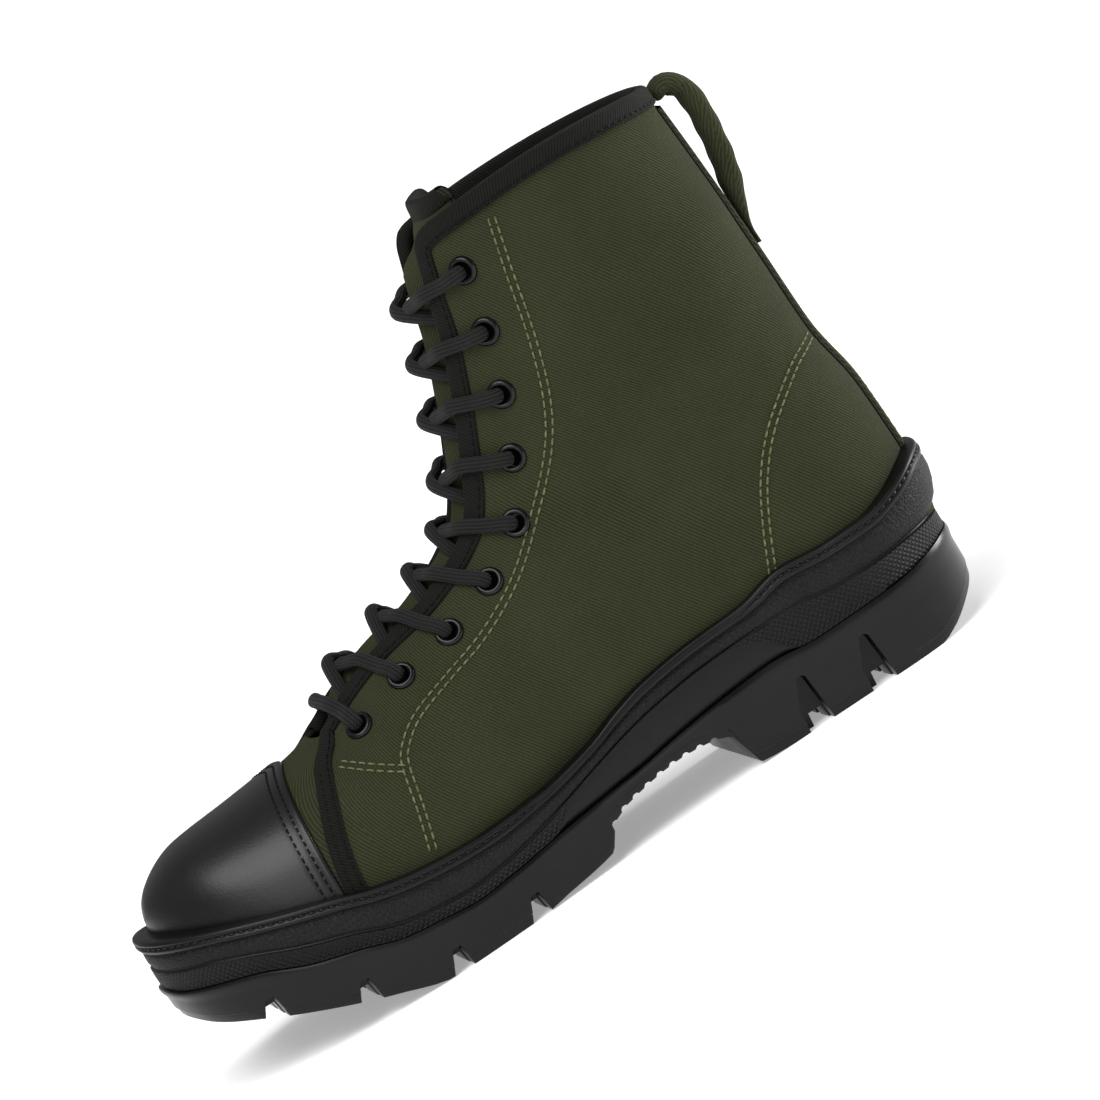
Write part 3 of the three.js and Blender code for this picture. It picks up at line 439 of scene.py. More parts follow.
def smooth_path(points, per_span=8):
    """A round line through points, each span cut in equal steps."""
    points = [np.asarray(p, float) for p in points]
    padded = [2 * points[0] - points[1], *points, 2 * points[-1] - points[-2]]
    path = []
    for i in range(1, len(padded) - 2):
        a, b, c, d = padded[i - 1:i + 3]
        bend = 2 * a - 5 * b + 4 * c - d
        turn = 3 * b - a - 3 * c + d
        for f in steps(0, 1, per_span)[:-1]:
            path.append(0.5 * (2 * b + (c - a) * f + bend * f * f + turn * f ** 3))
    path.append(points[-1])
    return path


def even_path(points, pitch):
    """Points at an even pitch along a line, with what goes with each point carried along."""
    points = np.asarray(points, float)
    reach = np.concatenate([[0], np.cumsum(np.linalg.norm(np.diff(points[:, :3], axis=0), axis=1))])
    count = max(2, round(reach[-1] / pitch))
    wanted = np.linspace(0, reach[-1], count + 1)
    return np.stack([np.interp(wanted, reach, points[:, k]) for k in range(points.shape[1])], axis=1)


# Materials
class Look:
    """One material, and the nodes that feed its shader. A colour is three numbers, or one for a grey."""

    def __init__(self, name, sockets):
        self.material = bpy.data.materials.new(name)
        self.material.use_nodes = True
        self.tree = self.material.node_tree
        self.shader = self.tree.nodes["Principled BSDF"]
        for socket, value in sockets.items():
            self.shader.inputs[socket].default_value = value

    def node(self, kind, inputs, **settings):
        """A node, each of its inputs a plain value or a link from another node."""
        made = self.tree.nodes.new(kind)
        for key, value in settings.items():
            setattr(made, key, value)
        for key, value in inputs.items():
            if isinstance(value, bpy.types.NodeSocket):
                self.tree.links.new(value, made.inputs[key])
            else:
                made.inputs[key].default_value = value
        return made

    def feed(self, socket, value):
        self.tree.links.new(value, self.shader.inputs[socket])

    def object_places(self):
        return self.node("ShaderNodeTexCoord", {}).outputs["Object"]

    def cloth_places(self, turn):
        """Places on the cloth in millimetres, turned by an angle in degrees."""
        uv = self.node("ShaderNodeUVMap", {}, uv_map="cloth").outputs["UV"]
        rotation = (0, 0, math.radians(turn))
        return self.node("ShaderNodeMapping", {"Vector": uv, "Rotation": rotation}).outputs["Vector"]

    def bands(self, turn, pitch, distortion=0.0):
        """Parallel ribs on the cloth, at an angle in degrees and a pitch in millimetres."""
        inputs = {
            "Vector": self.cloth_places(turn), "Scale": math.pi / 10 / pitch, "Distortion": distortion,
            "Detail": 1, "Detail Scale": 1.5,
        }
        return self.node("ShaderNodeTexWave", inputs, wave_type="BANDS", bands_direction="X").outputs["Fac"]

    def noise(self, places, scale, detail, roughness=0.6):
        inputs = {"Vector": places, "Scale": scale, "Detail": detail, "Roughness": roughness}
        return self.node("ShaderNodeTexNoise", inputs).outputs["Fac"]

    def cells(self, places, scale, feature):
        inputs = {"Vector": places, "Scale": scale, "Randomness": 1}
        return self.node("ShaderNodeTexVoronoi", inputs, feature=feature).outputs["Distance"]

    def calc(self, operation, *values):
        return self.node("ShaderNodeMath", dict(enumerate(values)), operation=operation).outputs["Value"]

    def ramp(self, value, *stops):
        """Colour by a value, between two stops of a place and a colour."""
        made = self.node("ShaderNodeValToRGB", {"Fac": value})
        for element, (place, colour) in zip(made.color_ramp.elements, stops):
            element.position = place
            element.color = (*(colour if isinstance(colour, tuple) else (colour,) * 3), 1)
        return made.outputs["Color"]

    def bump(self, height, distance):
        """Relief by a height from 0 to 1, with a distance in millimetres."""
        made = self.node("ShaderNodeBump", {"Strength": 1, "Distance": distance * 0.001, "Height": height})
        self.feed("Normal", made.outputs["Normal"])


def twill(name, dark, light, turn, pitch=1.0, depth=0.13, roughness=0.95):
    """Twill cloth: slanted ribs crossed by the fine yarns, with slow random changes of tone, and painted
    shade in the grooves between the ribs.
    """
    look = Look(name, {
        "Roughness": roughness, "Specular IOR Level": 0.12,
        "Sheen Weight": 0.03, "Sheen Roughness": 0.5, "Sheen Tint": (0.75, 0.8, 0.6, 1),
    })
    yarn = look.bands(90, pitch * 0.42, 0.4)
    height = look.calc("ADD", look.bands(turn, pitch, 0.25), look.calc("MULTIPLY", yarn, 0.35))
    patches = look.noise(look.object_places(), 45, 4)
    fleck = look.noise(look.cloth_places(turn), 0.9, 2)
    # Colour: random patches and flecks of tone, plus painted shade that is darker where the rib height is
    # low.
    shade = look.calc("MULTIPLY", height, 0.5)
    for part, share in ((patches, 0.35), (fleck, 0.3)):
        shade = look.calc("ADD", shade, look.calc("MULTIPLY", part, share))
    look.feed("Base Color", look.ramp(shade, (0.25, dark), (0.95, light)))
    look.bump(height, depth)
    return look.material


def make_thread(name, dark, light):
    look = Look(name, {"Roughness": 0.55, "Specular IOR Level": 0.1})
    fibres = look.noise(look.object_places(), 900, 2)
    look.feed("Base Color", look.ramp(fibres, (0.3, dark), (0.7, light)))
    look.bump(fibres, 0.08)
    return look.material


def make_leather():
    """Black leather with a fine grain and a polished face."""
    look = Look("leather", {
        "Roughness": 0.27, "Coat Weight": 0.1, "Coat Roughness": 0.25, "Specular IOR Level": 0.35,
    })
    places = look.object_places()
    grain = look.calc("MULTIPLY", look.cells(places, 1100, "F1"), 0.6)
    wear = look.noise(places, 60, 5)
    look.feed("Base Color", look.ramp(wear, (0.3, (0.0025, 0.0025, 0.003)), (0.8, (0.006, 0.006, 0.007))))
    look.feed("Roughness", look.ramp(wear, (0.3, 0.38), (0.75, 0.43)))
    look.bump(look.calc("ADD", grain, look.noise(places, 300, 4)), 0.05)
    return look.material


def make_rubber(name, roughness, grain_scale):
    look = Look(name, {"Roughness": roughness, "Specular IOR Level": 0.25})
    places = look.object_places()
    scuffs = look.noise(places, 35, 6)
    look.feed("Base Color", look.ramp(scuffs, (0.3, 0.0015), (0.75, 0.005)))
    look.feed("Roughness", look.ramp(scuffs, (0.3, roughness - 0.08), (0.75, roughness + 0.1)))
    look.bump(look.noise(places, grain_scale, 5, 0.65), 0.04)
    return look.material


def make_grain_rubber():
    """Rubber moulded with a pebbled leather grain."""
    look = Look("grain_rubber", {"Roughness": 0.6, "Specular IOR Level": 0.25})
    places = look.object_places()
    pebbles = look.ramp(look.cells(places, 620, "DISTANCE_TO_EDGE"), (0.0, 0), (0.16, 1))
    look.feed("Base Color", look.ramp(look.noise(places, 35, 6), (0.3, 0.002), (0.75, 0.006)))
    look.bump(pebbles, 0.16)
    return look.material


def make_knurl():
    """Rubber moulded with rows of small diamonds, with painted shade in the grooves between them."""
    look = Look("knurl_rubber", {"Roughness": 0.62, "Specular IOR Level": 0.25})
    height = look.calc("MINIMUM", look.bands(45, 1.5), look.bands(-45, 1.5))
    # Painted shade: the colour is darker where the height is low, in the grooves between the diamonds.
    look.feed("Base Color", look.ramp(height, (0.0, 0.001), (0.6, 0.007)))
    look.bump(height, 0.5)
    return look.material


def make_enamel():
    look = Look("enamel", {"Roughness": 0.35, "Metallic": 0.5})
    wear = look.noise(look.object_places(), 400, 4)
    look.feed("Base Color", look.ramp(wear, (0.35, 0.004), (0.8, (0.014, 0.014, 0.015))))
    look.feed("Roughness", look.ramp(wear, (0.3, 0.2), (0.75, 0.32)))
    return look.material


def make_lace_cord():
    """Braided cord: ribs along its length, crossed by slanted yarns, with painted shade in the grooves
    between them.
    """
    look = Look("lace_cord", {"Roughness": 0.75, "Sheen Weight": 0.05, "Specular IOR Level": 0.2})
    ribs = look.calc("MULTIPLY", look.bands(0, LACE_GIRTH / 12), 0.75)
    yarns = look.calc("MAXIMUM", look.bands(58, 0.7), look.bands(-58, 0.7))
    height = look.calc("MULTIPLY_ADD", yarns, 0.35, ribs)
    # Painted shade: the colour is darker where the height is low, between the ribs and yarns.
    look.feed("Base Color", look.ramp(height, (0.15, 0.0015), (1.0, (0.014, 0.014, 0.0135))))
    look.bump(height, 0.4)
    return look.material


canvas_shades = (0.012, 0.014, 0.006), (0.040, 0.045, 0.021)
canvas = twill("canvas", *canvas_shades, 36)
vamp_canvas = twill("vamp_canvas", *canvas_shades, 40)
strap_canvas = twill("strap_canvas", *canvas_shades, 28, pitch=1.3, depth=0.2)
tape_cloth = twill("tape_cloth", 0.002, (0.011, 0.011, 0.010), 62, depth=0.12, roughness=0.85)
lining_cloth = twill("lining_cloth", 0.003, (0.010, 0.010, 0.009), 0, depth=0.08)
olive_thread = make_thread("olive_thread", (0.075, 0.080, 0.036), (0.17, 0.18, 0.09))
black_thread = make_thread("black_thread", 0.0015, 0.007)
leather = make_leather()
smooth_rubber = make_rubber("smooth_rubber", 0.42, 500)
tread_rubber = make_rubber("tread_rubber", 0.3, 260)
grain_rubber = make_grain_rubber()
knurl_rubber = make_knurl()
enamel = make_enamel()
# Painted shade: a flat black for the sheets laid down in the eyelet holes where the hole is in shadow.
hole_sockets = {"Roughness": 1, "Base Color": (0.001, 0.001, 0.001, 1), "Specular IOR Level": 0}
hole_shade = Look("hole_shade", hole_sockets).material
lace_cord = make_lace_cord()


# Stitches: rings of one thread as its place along the stitch, share of the width and lift
STITCH_RINGS = ((0, 0.45, -0.5), (0.12, 0.85, 0.35), (0.5, 1, 0.75), (0.88, 0.85, 0.35), (1, 0.45, -0.5))


class Threads:
    """Collects stitches of one thread into one piece."""

    def __init__(self):
        self.verts = []
        self.faces = []

    def add(self, start, end, normal, width, rise):
        """One stitch: a short round thread that dips into the cloth at both ends."""
        along = unit(end - start)
        across = unit(np.cross(normal, along))
        up = np.cross(along, across)
        rings = []
        for f, share, lift in STITCH_RINGS:
            centre = start + (end - start) * f + up * rise * lift
            rings.append([
                centre + (across * math.cos(turn) + up * math.sin(turn) * 0.8) * width / 2 * share
                for turn in steps(0, math.tau, 6)[:-1]
            ])
        verts, faces = sweep_rings(rings)
        offset = len(self.verts)
        self.verts.extend(verts)
        self.faces.extend(tuple(index + offset for index in face) for face in faces)

    def run(self, points, normals, pitch=3.3, gap=0.22, width=0.75, rise=0.35):
        """Stitches at an even pitch along a line on a surface."""
        even = even_path(np.hstack([np.asarray(points, float), np.asarray(normals, float)]), pitch)
        for a, b in zip(even[:-1], even[1:]):
            start = mix(a[:3], b[:3], gap / 2)
            end = mix(a[:3], b[:3], 1 - gap / 2)
            self.add(start, end, unit(a[3:] + b[3:]), width, rise)

    def piece(self, name, material, slot):
        finish(new_object(name, self.verts, self.faces, materials=[material]), slot)


def finish(piece, slot, *nodes):
    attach(piece, "root")
    if nodes:
        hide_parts(*nodes)


def on_surface(places, side, height):
    """Points and normals over the cloth along a line of places."""
    points = [surface(t, side, angle, height) for t, angle in places]
    normals = [skin_normal(min(t, 0.999), side, angle) for t, angle in places]
    return points, normals


def side_line(shares, side, count=10):
    """Places on the surface along a smooth line through points of the side view."""
    path = smooth_path([(x, z, 0) for x, z in shares], count)
    return [find(x, z, side) for x, z, _ in path]


def shifted(places, side, distance):
    """A line of places moved sideways along the surface."""
    moved = []
    for i, place in enumerate(places):
        before = places[max(0, i - 1)]
        after = places[min(len(places) - 1, i + 1)]
        along = unit(skin(after[0], side, after[1]) - skin(before[0], side, before[1]))
        moved.append(inward(place, side, along, distance))
    return moved


# Upper
def upper_rows():
    return [
        *steps(0, THROAT_ROW, 44),
        *steps(THROAT_ROW, THROAT_ROW + THROAT_TURN, 10)[1:],
        *steps(THROAT_ROW + THROAT_TURN, HEEL_ROW, 34)[1:],
        *[mix(CORNER_ROW, HEEL_ROW, f * f) for f in steps(1, 0, 12)[1:]],
        *steps(CORNER_ROW, 1 - COLLAR_TURN, 46)[1:],
        *steps(1 - COLLAR_TURN, 1, 10)[1:],
    ]


def column_angles(end):
    return [math.pi / 2 * f ** 1.35 for f in steps(0, 1, 22)] + steps(math.pi / 2, end, 26)[1:]


def wrap_uv(points, start):
    """Cloth coordinates: the way round the boot at level height, and the height."""
    points = np.asarray(points, float)
    run = np.linalg.norm(np.diff(points[:, :, :2], axis=1), axis=2)
    around = np.zeros(points.shape[:2])
    around[:, 1:] = np.cumsum(run, axis=1)
    return np.stack([around + np.asarray(start)[:, None], points[:, :, 2]], axis=2)


def make_upper():
    rows = upper_rows()
    grids = []
    for side in (1, -1):
        points = [[surface(t, side, angle) for angle in column_angles(edge_angle(t, side))] for t in rows]
        for i, t in enumerate(rows):
            if t >= CORNER_ROW:
                points[i][0][1] = 0
            if t <= THROAT_ROW:
                points[i][-1][1] = 0
        base = [line[0] for line in points]
        start = [0.0] * len(rows)
        corner = min(range(len(rows)), key=lambda i: abs(rows[i] - CORNER_ROW))
        for i in range(corner - 1, -1, -1):
            start[i] = start[i + 1] + float(np.linalg.norm((base[i] - base[i + 1])[:2]))
        kinds = [1 if t < 0.30 else 0 for t in rows]
        grids.append((points, wrap_uv(points, start), side > 0, kinds))
    piece = grid_object("cloth_upper", grids, [canvas, vamp_canvas, lining_cloth, lining_cloth], merge=0.05)
    solid = thicken(piece, WALL, 2)
    finish(solid, "olive_canvas", "upper")
    return solid


upper = make_upper()


# Toe cap with a folded rear edge. Its rows lie at distances from the seam, in millimetres.
CAP_DISTANCES = [
    0, 0, 0.08, 0.25, 0.5, 0.8, 1.2, 1.6, 2.0, 2.3, 2.6, 2.9, 3.3, 3.9, 4.4, 4.7, 5.0, 5.3, 5.8, 6.5,
    *steps(7.5, CAP_REACH, 44),
]


def cap_seam(angle):
    """The cap's rear edge as a row of the fan: level at the sides, bent back over the ridge."""
    return 0.2545 + 0.0315 * (max(0, angle - 1.2) / 1.94) ** 2.5


def cap_height(distance):
    """Height of the leather over the cloth, at a distance from the seam edge."""
    edge = CAP_THICKNESS + 0.35
    roll = math.sqrt(max(0, 1 - max(0, 1 - distance / 0.8) ** 2))
    fold = 0.28 * math.exp(-((distance - 0.9) / 0.9) ** 2)
    dips = sum(-0.16 * math.exp(-((distance - place) / 0.45) ** 2) for place in CAP_SEAMS)
    return edge * roll + fold + dips


def make_toe_cap():
    angles = steps(0.25, math.pi, 60)
    grids = []
    for side in (1, -1):
        points = []
        for i, distance in enumerate(CAP_DISTANCES):
            share = 1 - distance / CAP_REACH
            height = cap_height(distance) if i else -0.4
            points.append([surface(cap_seam(angle) * share, side, angle, height) for angle in angles])
            if abs(share) < 1e-9:
                for point in points[-1]:
                    point[1] = 0
            points[-1][-1][1] = 0
        grids.append((points, flat_uv(points), side > 0, 0))
    piece = grid_object("leather_toe_cap", grids, [leather], merge=0.05)
    finish(piece, "black_leather", "toe_cap")
    threads = Threads()
    for side in (1, -1):
        for distance in CAP_SEAMS:
            share = 1 - distance / CAP_REACH
            places = [(cap_seam(angle) * share, angle) for angle in steps(0.7, math.pi, 40)]
            threads.run(*on_surface(places, side, cap_height(distance) + 0.05), pitch=2.9, width=0.62)
    threads.piece("toe_cap_stitches", black_thread, "black_leather")


make_toe_cap()


# Tape over the quarters' edges: collar, round corner, facing and the run down to the sole rim
def edge_places(side):
    angles = [back_angle(1.0, side, 0.6), *column_angles(edge_angle(1.0, side))[4:]]
    facing = [t for t in upper_rows() if THROAT_ROW + THROAT_TURN <= t < 1]
    return [(1.0, angle) for angle in angles] + [(t, edge_angle(t, side)) for t in reversed(facing)]


def front_places(side):
    """The front edge of the tape's flat run, from the foot of the facing to the sole rim."""
    start = THROAT_ROW + THROAT_TURN
    foot, foot_angle, bend = 0.2665, 1.15, 0.07
    start_angle = edge_angle(start, side) - 0.06
    path = []
    for f in steps(0, 1, 30):
        angle = mix(start_angle, foot_angle, f)
        line = foot + bend * (max(0, angle - 1.5) / 1.29) ** 2
        path.append((mix(start, min(line, start), ease(f * 8)), angle))
    return shifted(path, side, -TAPE_WIDTH / 2)


def leaf(path, i, side, distance, height):
    """A point beside a line of places, at a distance along the cloth and a height over it."""
    before = path[max(0, i - 1)]
    after = path[min(len(path) - 1, i + 1)]
    here = skin(path[i][0], side, path[i][1])
    ahead = unit(skin(after[0], side, after[1]) - here) if after != path[i] else 0
    behind = unit(here - skin(before[0], side, before[1])) if before != path[i] else 0
    along = unit(ahead + behind)
    t, angle = inward(path[i], side, along, distance) if distance > 0 else path[i]
    t, angle = clamp(t, 0.001, 1), clamp(angle, 0.0, math.pi)
    normal = skin_normal(min(t, 0.999), side, angle)
    point = surface(t, side, angle, height)
    if distance < 0:
        point = point + unit(np.cross(normal, along)) * distance * side
    return point, normal


# Sections of the tape's outer leaf and its fold: distance along the cloth and height over it
TAPE_OUTER = [
    (-0.2, -0.5), (-1.0, -0.15), (-1.25, 0.35), (-1.0, 0.95), (-0.3, 1.3), (0.8, 1.38), (2.4, 1.34),
    (3.6, 1.28), (4.5, 1.16), (5.2, 1.22), (5.65, 1.05), (5.85, 0.6), (5.8, -0.3),
]
TAPE_INNER = [
    (5.8, -2.0), (5.85, -2.9), (5.6, -3.35), (4.5, -3.35), (2.4, -3.45), (0.8, -3.5), (-0.4, -3.4),
    (-1.1, -2.9), (-1.45, -2.2), (-1.6, -1.2), (-1.5, -0.2), (-1.25, 0.35), (-1.0, 0.95), (-0.3, 1.3),
    (0.5, 1.2), (0.4, 0.2),
]


def make_tape(side, name):
    edge = edge_places(side)
    run = front_places(side)[2:]
    whole = edge + run
    outer = [[leaf(whole, i, side, d, h)[0] for d, h in TAPE_OUTER] for i in range(len(whole))]
    inner = [[leaf(edge, i, side, d, h)[0] for d, h in TAPE_INNER] for i in range(len(edge))]
    grids = [(outer, flat_uv(outer), side > 0, 0), (inner, flat_uv(inner), side > 0, 0)]
    piece = grid_object(name, grids, [tape_cloth], merge=0.005)
    finish(piece, "black_tape", name.replace("cloth_", ""))
    return whole, len(edge)


tape_threads = Threads()
for side, name in ((1, "cloth_binding_left"), (-1, "cloth_binding_right")):
    whole, edge_count = make_tape(side, name)
    for distance, first in ((4.5, 1), (1.4, edge_count + 3)):
        points, normals = zip(*[leaf(whole, i, side, distance, 1.28) for i in range(first, len(whole))])
        tape_threads.run(points, normals, pitch=3.0, width=0.62, rise=0.2)
tape_threads.piece("tape_stitches", black_thread, "black_tape")


# Double rows of light stitches on the quarters
EYESTAY = [
    (0.258, 0.955), (0.273, 0.86), (0.287, 0.764), (0.308, 0.667), (0.336, 0.596), (0.383, 0.522),
    (0.438, 0.456), (0.502, 0.409), (0.563, 0.384), (0.615, 0.361), (0.646, 0.331), (0.657, 0.305),
    (0.669, 0.246), (0.683, 0.18),
]
CROSS = [(0.657, 0.306), (0.685, 0.333), (0.712, 0.362)]
COUNTER = [(0.018, 0.514), (0.061, 0.491), (0.117, 0.438), (0.154, 0.378), (0.181, 0.310), (0.204, 0.238)]

light_threads = Threads()
for side in (1, -1):
    for shares in (EYESTAY, CROSS, COUNTER):
        middle_line = side_line(shares, side, 6)
        for offset in (-1.15, 1.15):
            places = shifted(middle_line, side, offset)
            light_threads.run(*on_surface(places, side, 0.12), pitch=3.3, width=0.8)


# Strip up the back
def strip_point(t, y, height):
    side = 1 if y >= 0 else -1
    angle = back_angle(t, side, abs(y)) if abs(y) > 0.3 else 0
    if angle == 0:
        point = skin(t, 1, 0)
        return point + np.array([-height, y, 0])
    return surface(t, side, angle, height)


# Half of the strip's section, from its edge to near the middle: distance from the middle and height
STRIP_HALF = [
    (11.2, -0.3), (11.2, 0.6), (10.9, 1.35), (10.2, 1.6), (9.2, 1.62), (8.4, 1.5), (6, 1.6), (3, 1.62),
]
STRIP_SECTION = [(-y, height) for y, height in STRIP_HALF] + [(0, 1.62)] + STRIP_HALF[::-1]


def strip_line(first, last, count, height, y):
    """Points and normals up the strip, at a distance from its middle."""
    side = 1 if y > 0 else -1
    places = steps(first, last, count)
    points = [strip_point(t, y, height) for t in places]
    return points, [skin_normal(t, side, back_angle(t, side, abs(y))) for t in places]


def make_backstay():
    first, last, count = 0.745, 0.985, 40
    rows = steps(first, last, count)
    points = [[strip_point(t, y, height) for y, height in STRIP_SECTION] for t in rows]
    piece = grid_object("cloth_backstay", [(points, flat_uv(points), True, 0)], [strap_canvas])
    finish(piece, "olive_canvas", "backstay")
    # Painted shadow: thin black tubes sunk along the strip's two edges stand for the shade where its edges
    # meet the cloth.
    grooves = []
    for y in (-11.5, 11.5):
        points, normals = strip_line(first, last, count, 0.2, y)
        rings = []
        for i, (point, normal) in enumerate(zip(points, normals)):
            along = unit(points[min(i + 1, count)] - points[max(i - 1, 0)])
            across = unit(np.cross(normal, along))
            rings.append([
                point + (across * math.cos(turn) + normal * math.sin(turn)) * 0.5
                for turn in steps(0, math.tau, 8)
            ])
        grooves.append((rings, flat_uv(rings), False, 0))
        light_threads.run(*strip_line(0.752, 0.832, 16, 1.5, y * 0.8), pitch=3.3, width=0.65, rise=0.2)
    finish(fix_normals(grid_object("backstay_seam_shadows", grooves, [black_thread])), "olive_canvas")


make_backstay()
light_threads.piece("olive_stitches", olive_thread, "olive_canvas")


# Tongue with a bound top
def tongue_point(t, y):
    side = -1 if y < 0 else 1
    sink = THROAT_HALF_GAP + 1
    level = min(t, 1)
    held = (abs(y) ** 3 + sink ** 3) ** (1 / 3)
    angle = front_angle(level, side, held)
    point = skin(level, side, angle)
    normal = skin_normal(min(level, 0.99), side, min(angle, 2.9))
    normal[1] = 0
    point[1] = y
    along = ease((t - THROAT_ROW) / 0.1) * (1 - ease((t - 0.96) / 0.04))
    bulge = TONGUE_BULGE * along * (1 - clamp(y / THROAT_HALF_GAP, -1, 1) ** 2) ** 2
    point = point + unit(normal) * (bulge - WALL - TAPE_THICKNESS - CLEARANCE * 3)
    if t > 1:
        past = (t - 1) / (TONGUE_END - 1)
        rise = past * TONGUE_RISE
        point = point + np.array([-rise * 0.75 + 3.2 * past ** 2, 0, rise])
    return point


def tongue_half(t):
    crown = mix(1, 0.86, clamp((t - 1) / (TONGUE_END - 1), 0, 1) ** 2)
    return TONGUE_HALF_WIDTH * mix(0.62, 1, ease((t - THROAT_ROW) / 0.4)) * crown


def make_tongue():
    rows = steps(THROAT_ROW + 0.012, 1, 80) + steps(1, TONGUE_END, 10)[1:]
    points = [[tongue_point(t, f * tongue_half(t)) for f in steps(-1, 1, 32)] for t in rows]
    piece = grid_object("cloth_tongue", [(points, flat_uv(points), False, 0)], [canvas, lining_cloth])
    finish(thicken(piece, TONGUE_THICKNESS, 1), "olive_canvas", "tongue")
    section = [
        (-6.2, -0.1), (-6.2, 0.7), (-5.6, 0.95), (-3, 1.0), (-0.8, 1.0), (0.3, 0.75), (1.0, -0.2),
        (1.2, -1.2), (1.0, -2.3), (0.3, -3.1), (-0.8, -3.4), (-3, -3.4), (-5.6, -3.35), (-6.2, -3.1),
        (-6.2, -2.3),
    ]
    rings = []
    last = 24
    top, below = [
        [tongue_point(t, f * tongue_half(t)) for f in steps(-1, 1, last)]
        for t in (TONGUE_END, TONGUE_END - 0.015)
    ]
    for k, (high, low) in enumerate(zip(top, below)):
        up = unit(high - low)
        sideways = unit(top[min(k + 1, last)] - top[max(k - 1, 0)])
        out = unit(np.cross(up, sideways)) * -1
        if out[0] < 0:
            out = -out
        rings.append([high + up * a + out * b for a, b in section])
    grid = [ring + [ring[0]] for ring in rings]
    binding = grid_object("tongue_binding", [(grid, flat_uv(grid), False, 0)], [tape_cloth])
    fix_normals(binding)
    finish(binding, "black_tape")


make_tongue()


# Pull loop
def make_loop():
    """A soft thick strap in a D behind the collar, thin where it is sewn on, with its top end folded in."""
    line = [
        (back_line(0.675) * LENGTH - 2.0, 140.5), (back_line(0.70) * LENGTH - 2.2, 146), (0.6, 152),
        (-1.4, 160), (-3.8, 171), (-5.1, 182), (-5.4, 190), (-4.0, 197), (0.2, 200.6), (3.6, 199.5),
        (4.0, 197.0),
    ]
    path = even_path(smooth_path([(x, 0, z) for x, z in line], 7), 1.1)
    rings = []
    last = len(path) - 1
    for i, point in enumerate(path):
        along = unit(path[min(i + 1, last)] - path[max(i - 1, 0)])
        up = np.array([-along[2], 0, along[0]])
        half = mix(LOOP_END, LOOP_THICKNESS * 1.08, ease((i - 3) / 20)) / 2
        half *= 1 + 0.05 * math.sin(i * 0.7) * ease(i / 10)
        width = LOOP_WIDTH / 2 * (1 - 0.12 * ease((i - 8) / 12))
        taper = math.sqrt(max(0.04, 1 - max(0, (i - last + 3) / 3) ** 2))
        ring = []
        for turn in steps(0, math.tau, 30)[:-1]:
            c, s = math.cos(turn), math.sin(turn)
            across = width * math.copysign(abs(c) ** 0.7, c) * taper
            high = half * math.copysign(abs(s) ** 0.85, s) * taper
            ring.append(point + np.array([0, across, 0]) + up * high)
        rings.append(ring + [ring[0]])
    piece = grid_object("cloth_loop", [(rings, flat_uv(rings), False, 0)], [strap_canvas])
    fix_normals(piece)
    finish(piece, "olive_canvas", "pull_loop")


make_loop()


# Eyelets
def eyelet_places(side):
    """Places of the eyelets from the top down, evenly spread along a line beside the facing's edge."""
    line = []
    for t in steps(THROAT_ROW + THROAT_TURN * 2.7, 0.953, 60):
        before, after = [skin(row, side, edge_angle(row, side)) for row in (t - 0.01, t + 0.01)]
        along = before - after
        line.append(inward((t, edge_angle(t, side)), side, unit(along), EYELET_INSET))
    points = np.array([[*skin(t, side, angle), t, angle] for t, angle in line])
    reach = np.concatenate([[0], np.cumsum(np.linalg.norm(np.diff(points[:, :3], axis=0), axis=1))])
    wanted = np.linspace(reach[-1], 0, EYELET_COUNT)
    return [tuple(float(np.interp(place, reach, points[:, k])) for k in (3, 4)) for place in wanted]


EYELET_SECTION = [
    (2.9, -1.6), (2.9, 0.5), (3.0, 0.85), (3.3, 1.15), (3.8, 1.35), (4.3, 1.2), (4.75, 0.75),
    (4.9, 0.35), (4.9, -0.2),
]


def make_eyelets(side, name, places):
    grids = []
    for t, angle in places:
        centre = surface(t, side, angle, 0)
        normal = skin_normal(t, side, angle)
        u = unit(np.cross(normal, [0, 1, 0.3]))
        v = np.cross(normal, u)
        rings = [
            [centre + (u * math.cos(turn) + v * math.sin(turn)) * r + normal * h for r, h in EYELET_SECTION]
            for turn in steps(0, math.tau, 32)
        ]
        grids.append((rings, flat_uv(rings), False, 0))
        # Painted shade: a black disc down in each hole stands in for the shadow inside it.
        shade_disc = [[centre + normal * 0.15, ring[0] + normal * 1.75] for ring in rings]
        grids.append((shade_disc, flat_uv(shade_disc), False, 1))
    piece = grid_object(f"eyelets_{name}", grids, [enamel, hole_shade])
    finish(piece, "eyelet_enamel", *[f"eyelet_{name}_{k + 1}" for k in range(EYELET_COUNT)])


places = {1: eyelet_places(1), -1: eyelet_places(-1)}
make_eyelets(1, "left", places[1])
make_eyelets(-1, "right", places[-1])


# Lace: criss-cross strands that lie over one facing and dive under the other, and a bar over the lowest pair
def spot(place, side):
    return surface(place[0], side, place[1]), skin_normal(place[0], side, place[1])


def into_eyelet(place, edge, side):
    """From the facing's edge over the cloth and down into an eyelet."""
    centre, normal = spot(place, side)
    toward = unit(edge - centre)
    return [
        (mix(centre, edge, 0.62) + normal * 2.5, normal),
        (centre + normal * 3.1 + toward * 3.4, normal),
        (centre + normal * 1.7 + toward * 1.3, unit(normal - toward)),
        (centre - normal * 1.8 + toward * 0.7, -toward),
    ]


def over_edge(row, side):
    edge, normal = spot((row, edge_angle(row, side)), side)
    return edge, (edge + normal * 3.3, normal)


def front_of(row):
    normal = skin_normal(row, 1, 3.0)
    return unit(np.array([normal[0], 0, normal[2]]))


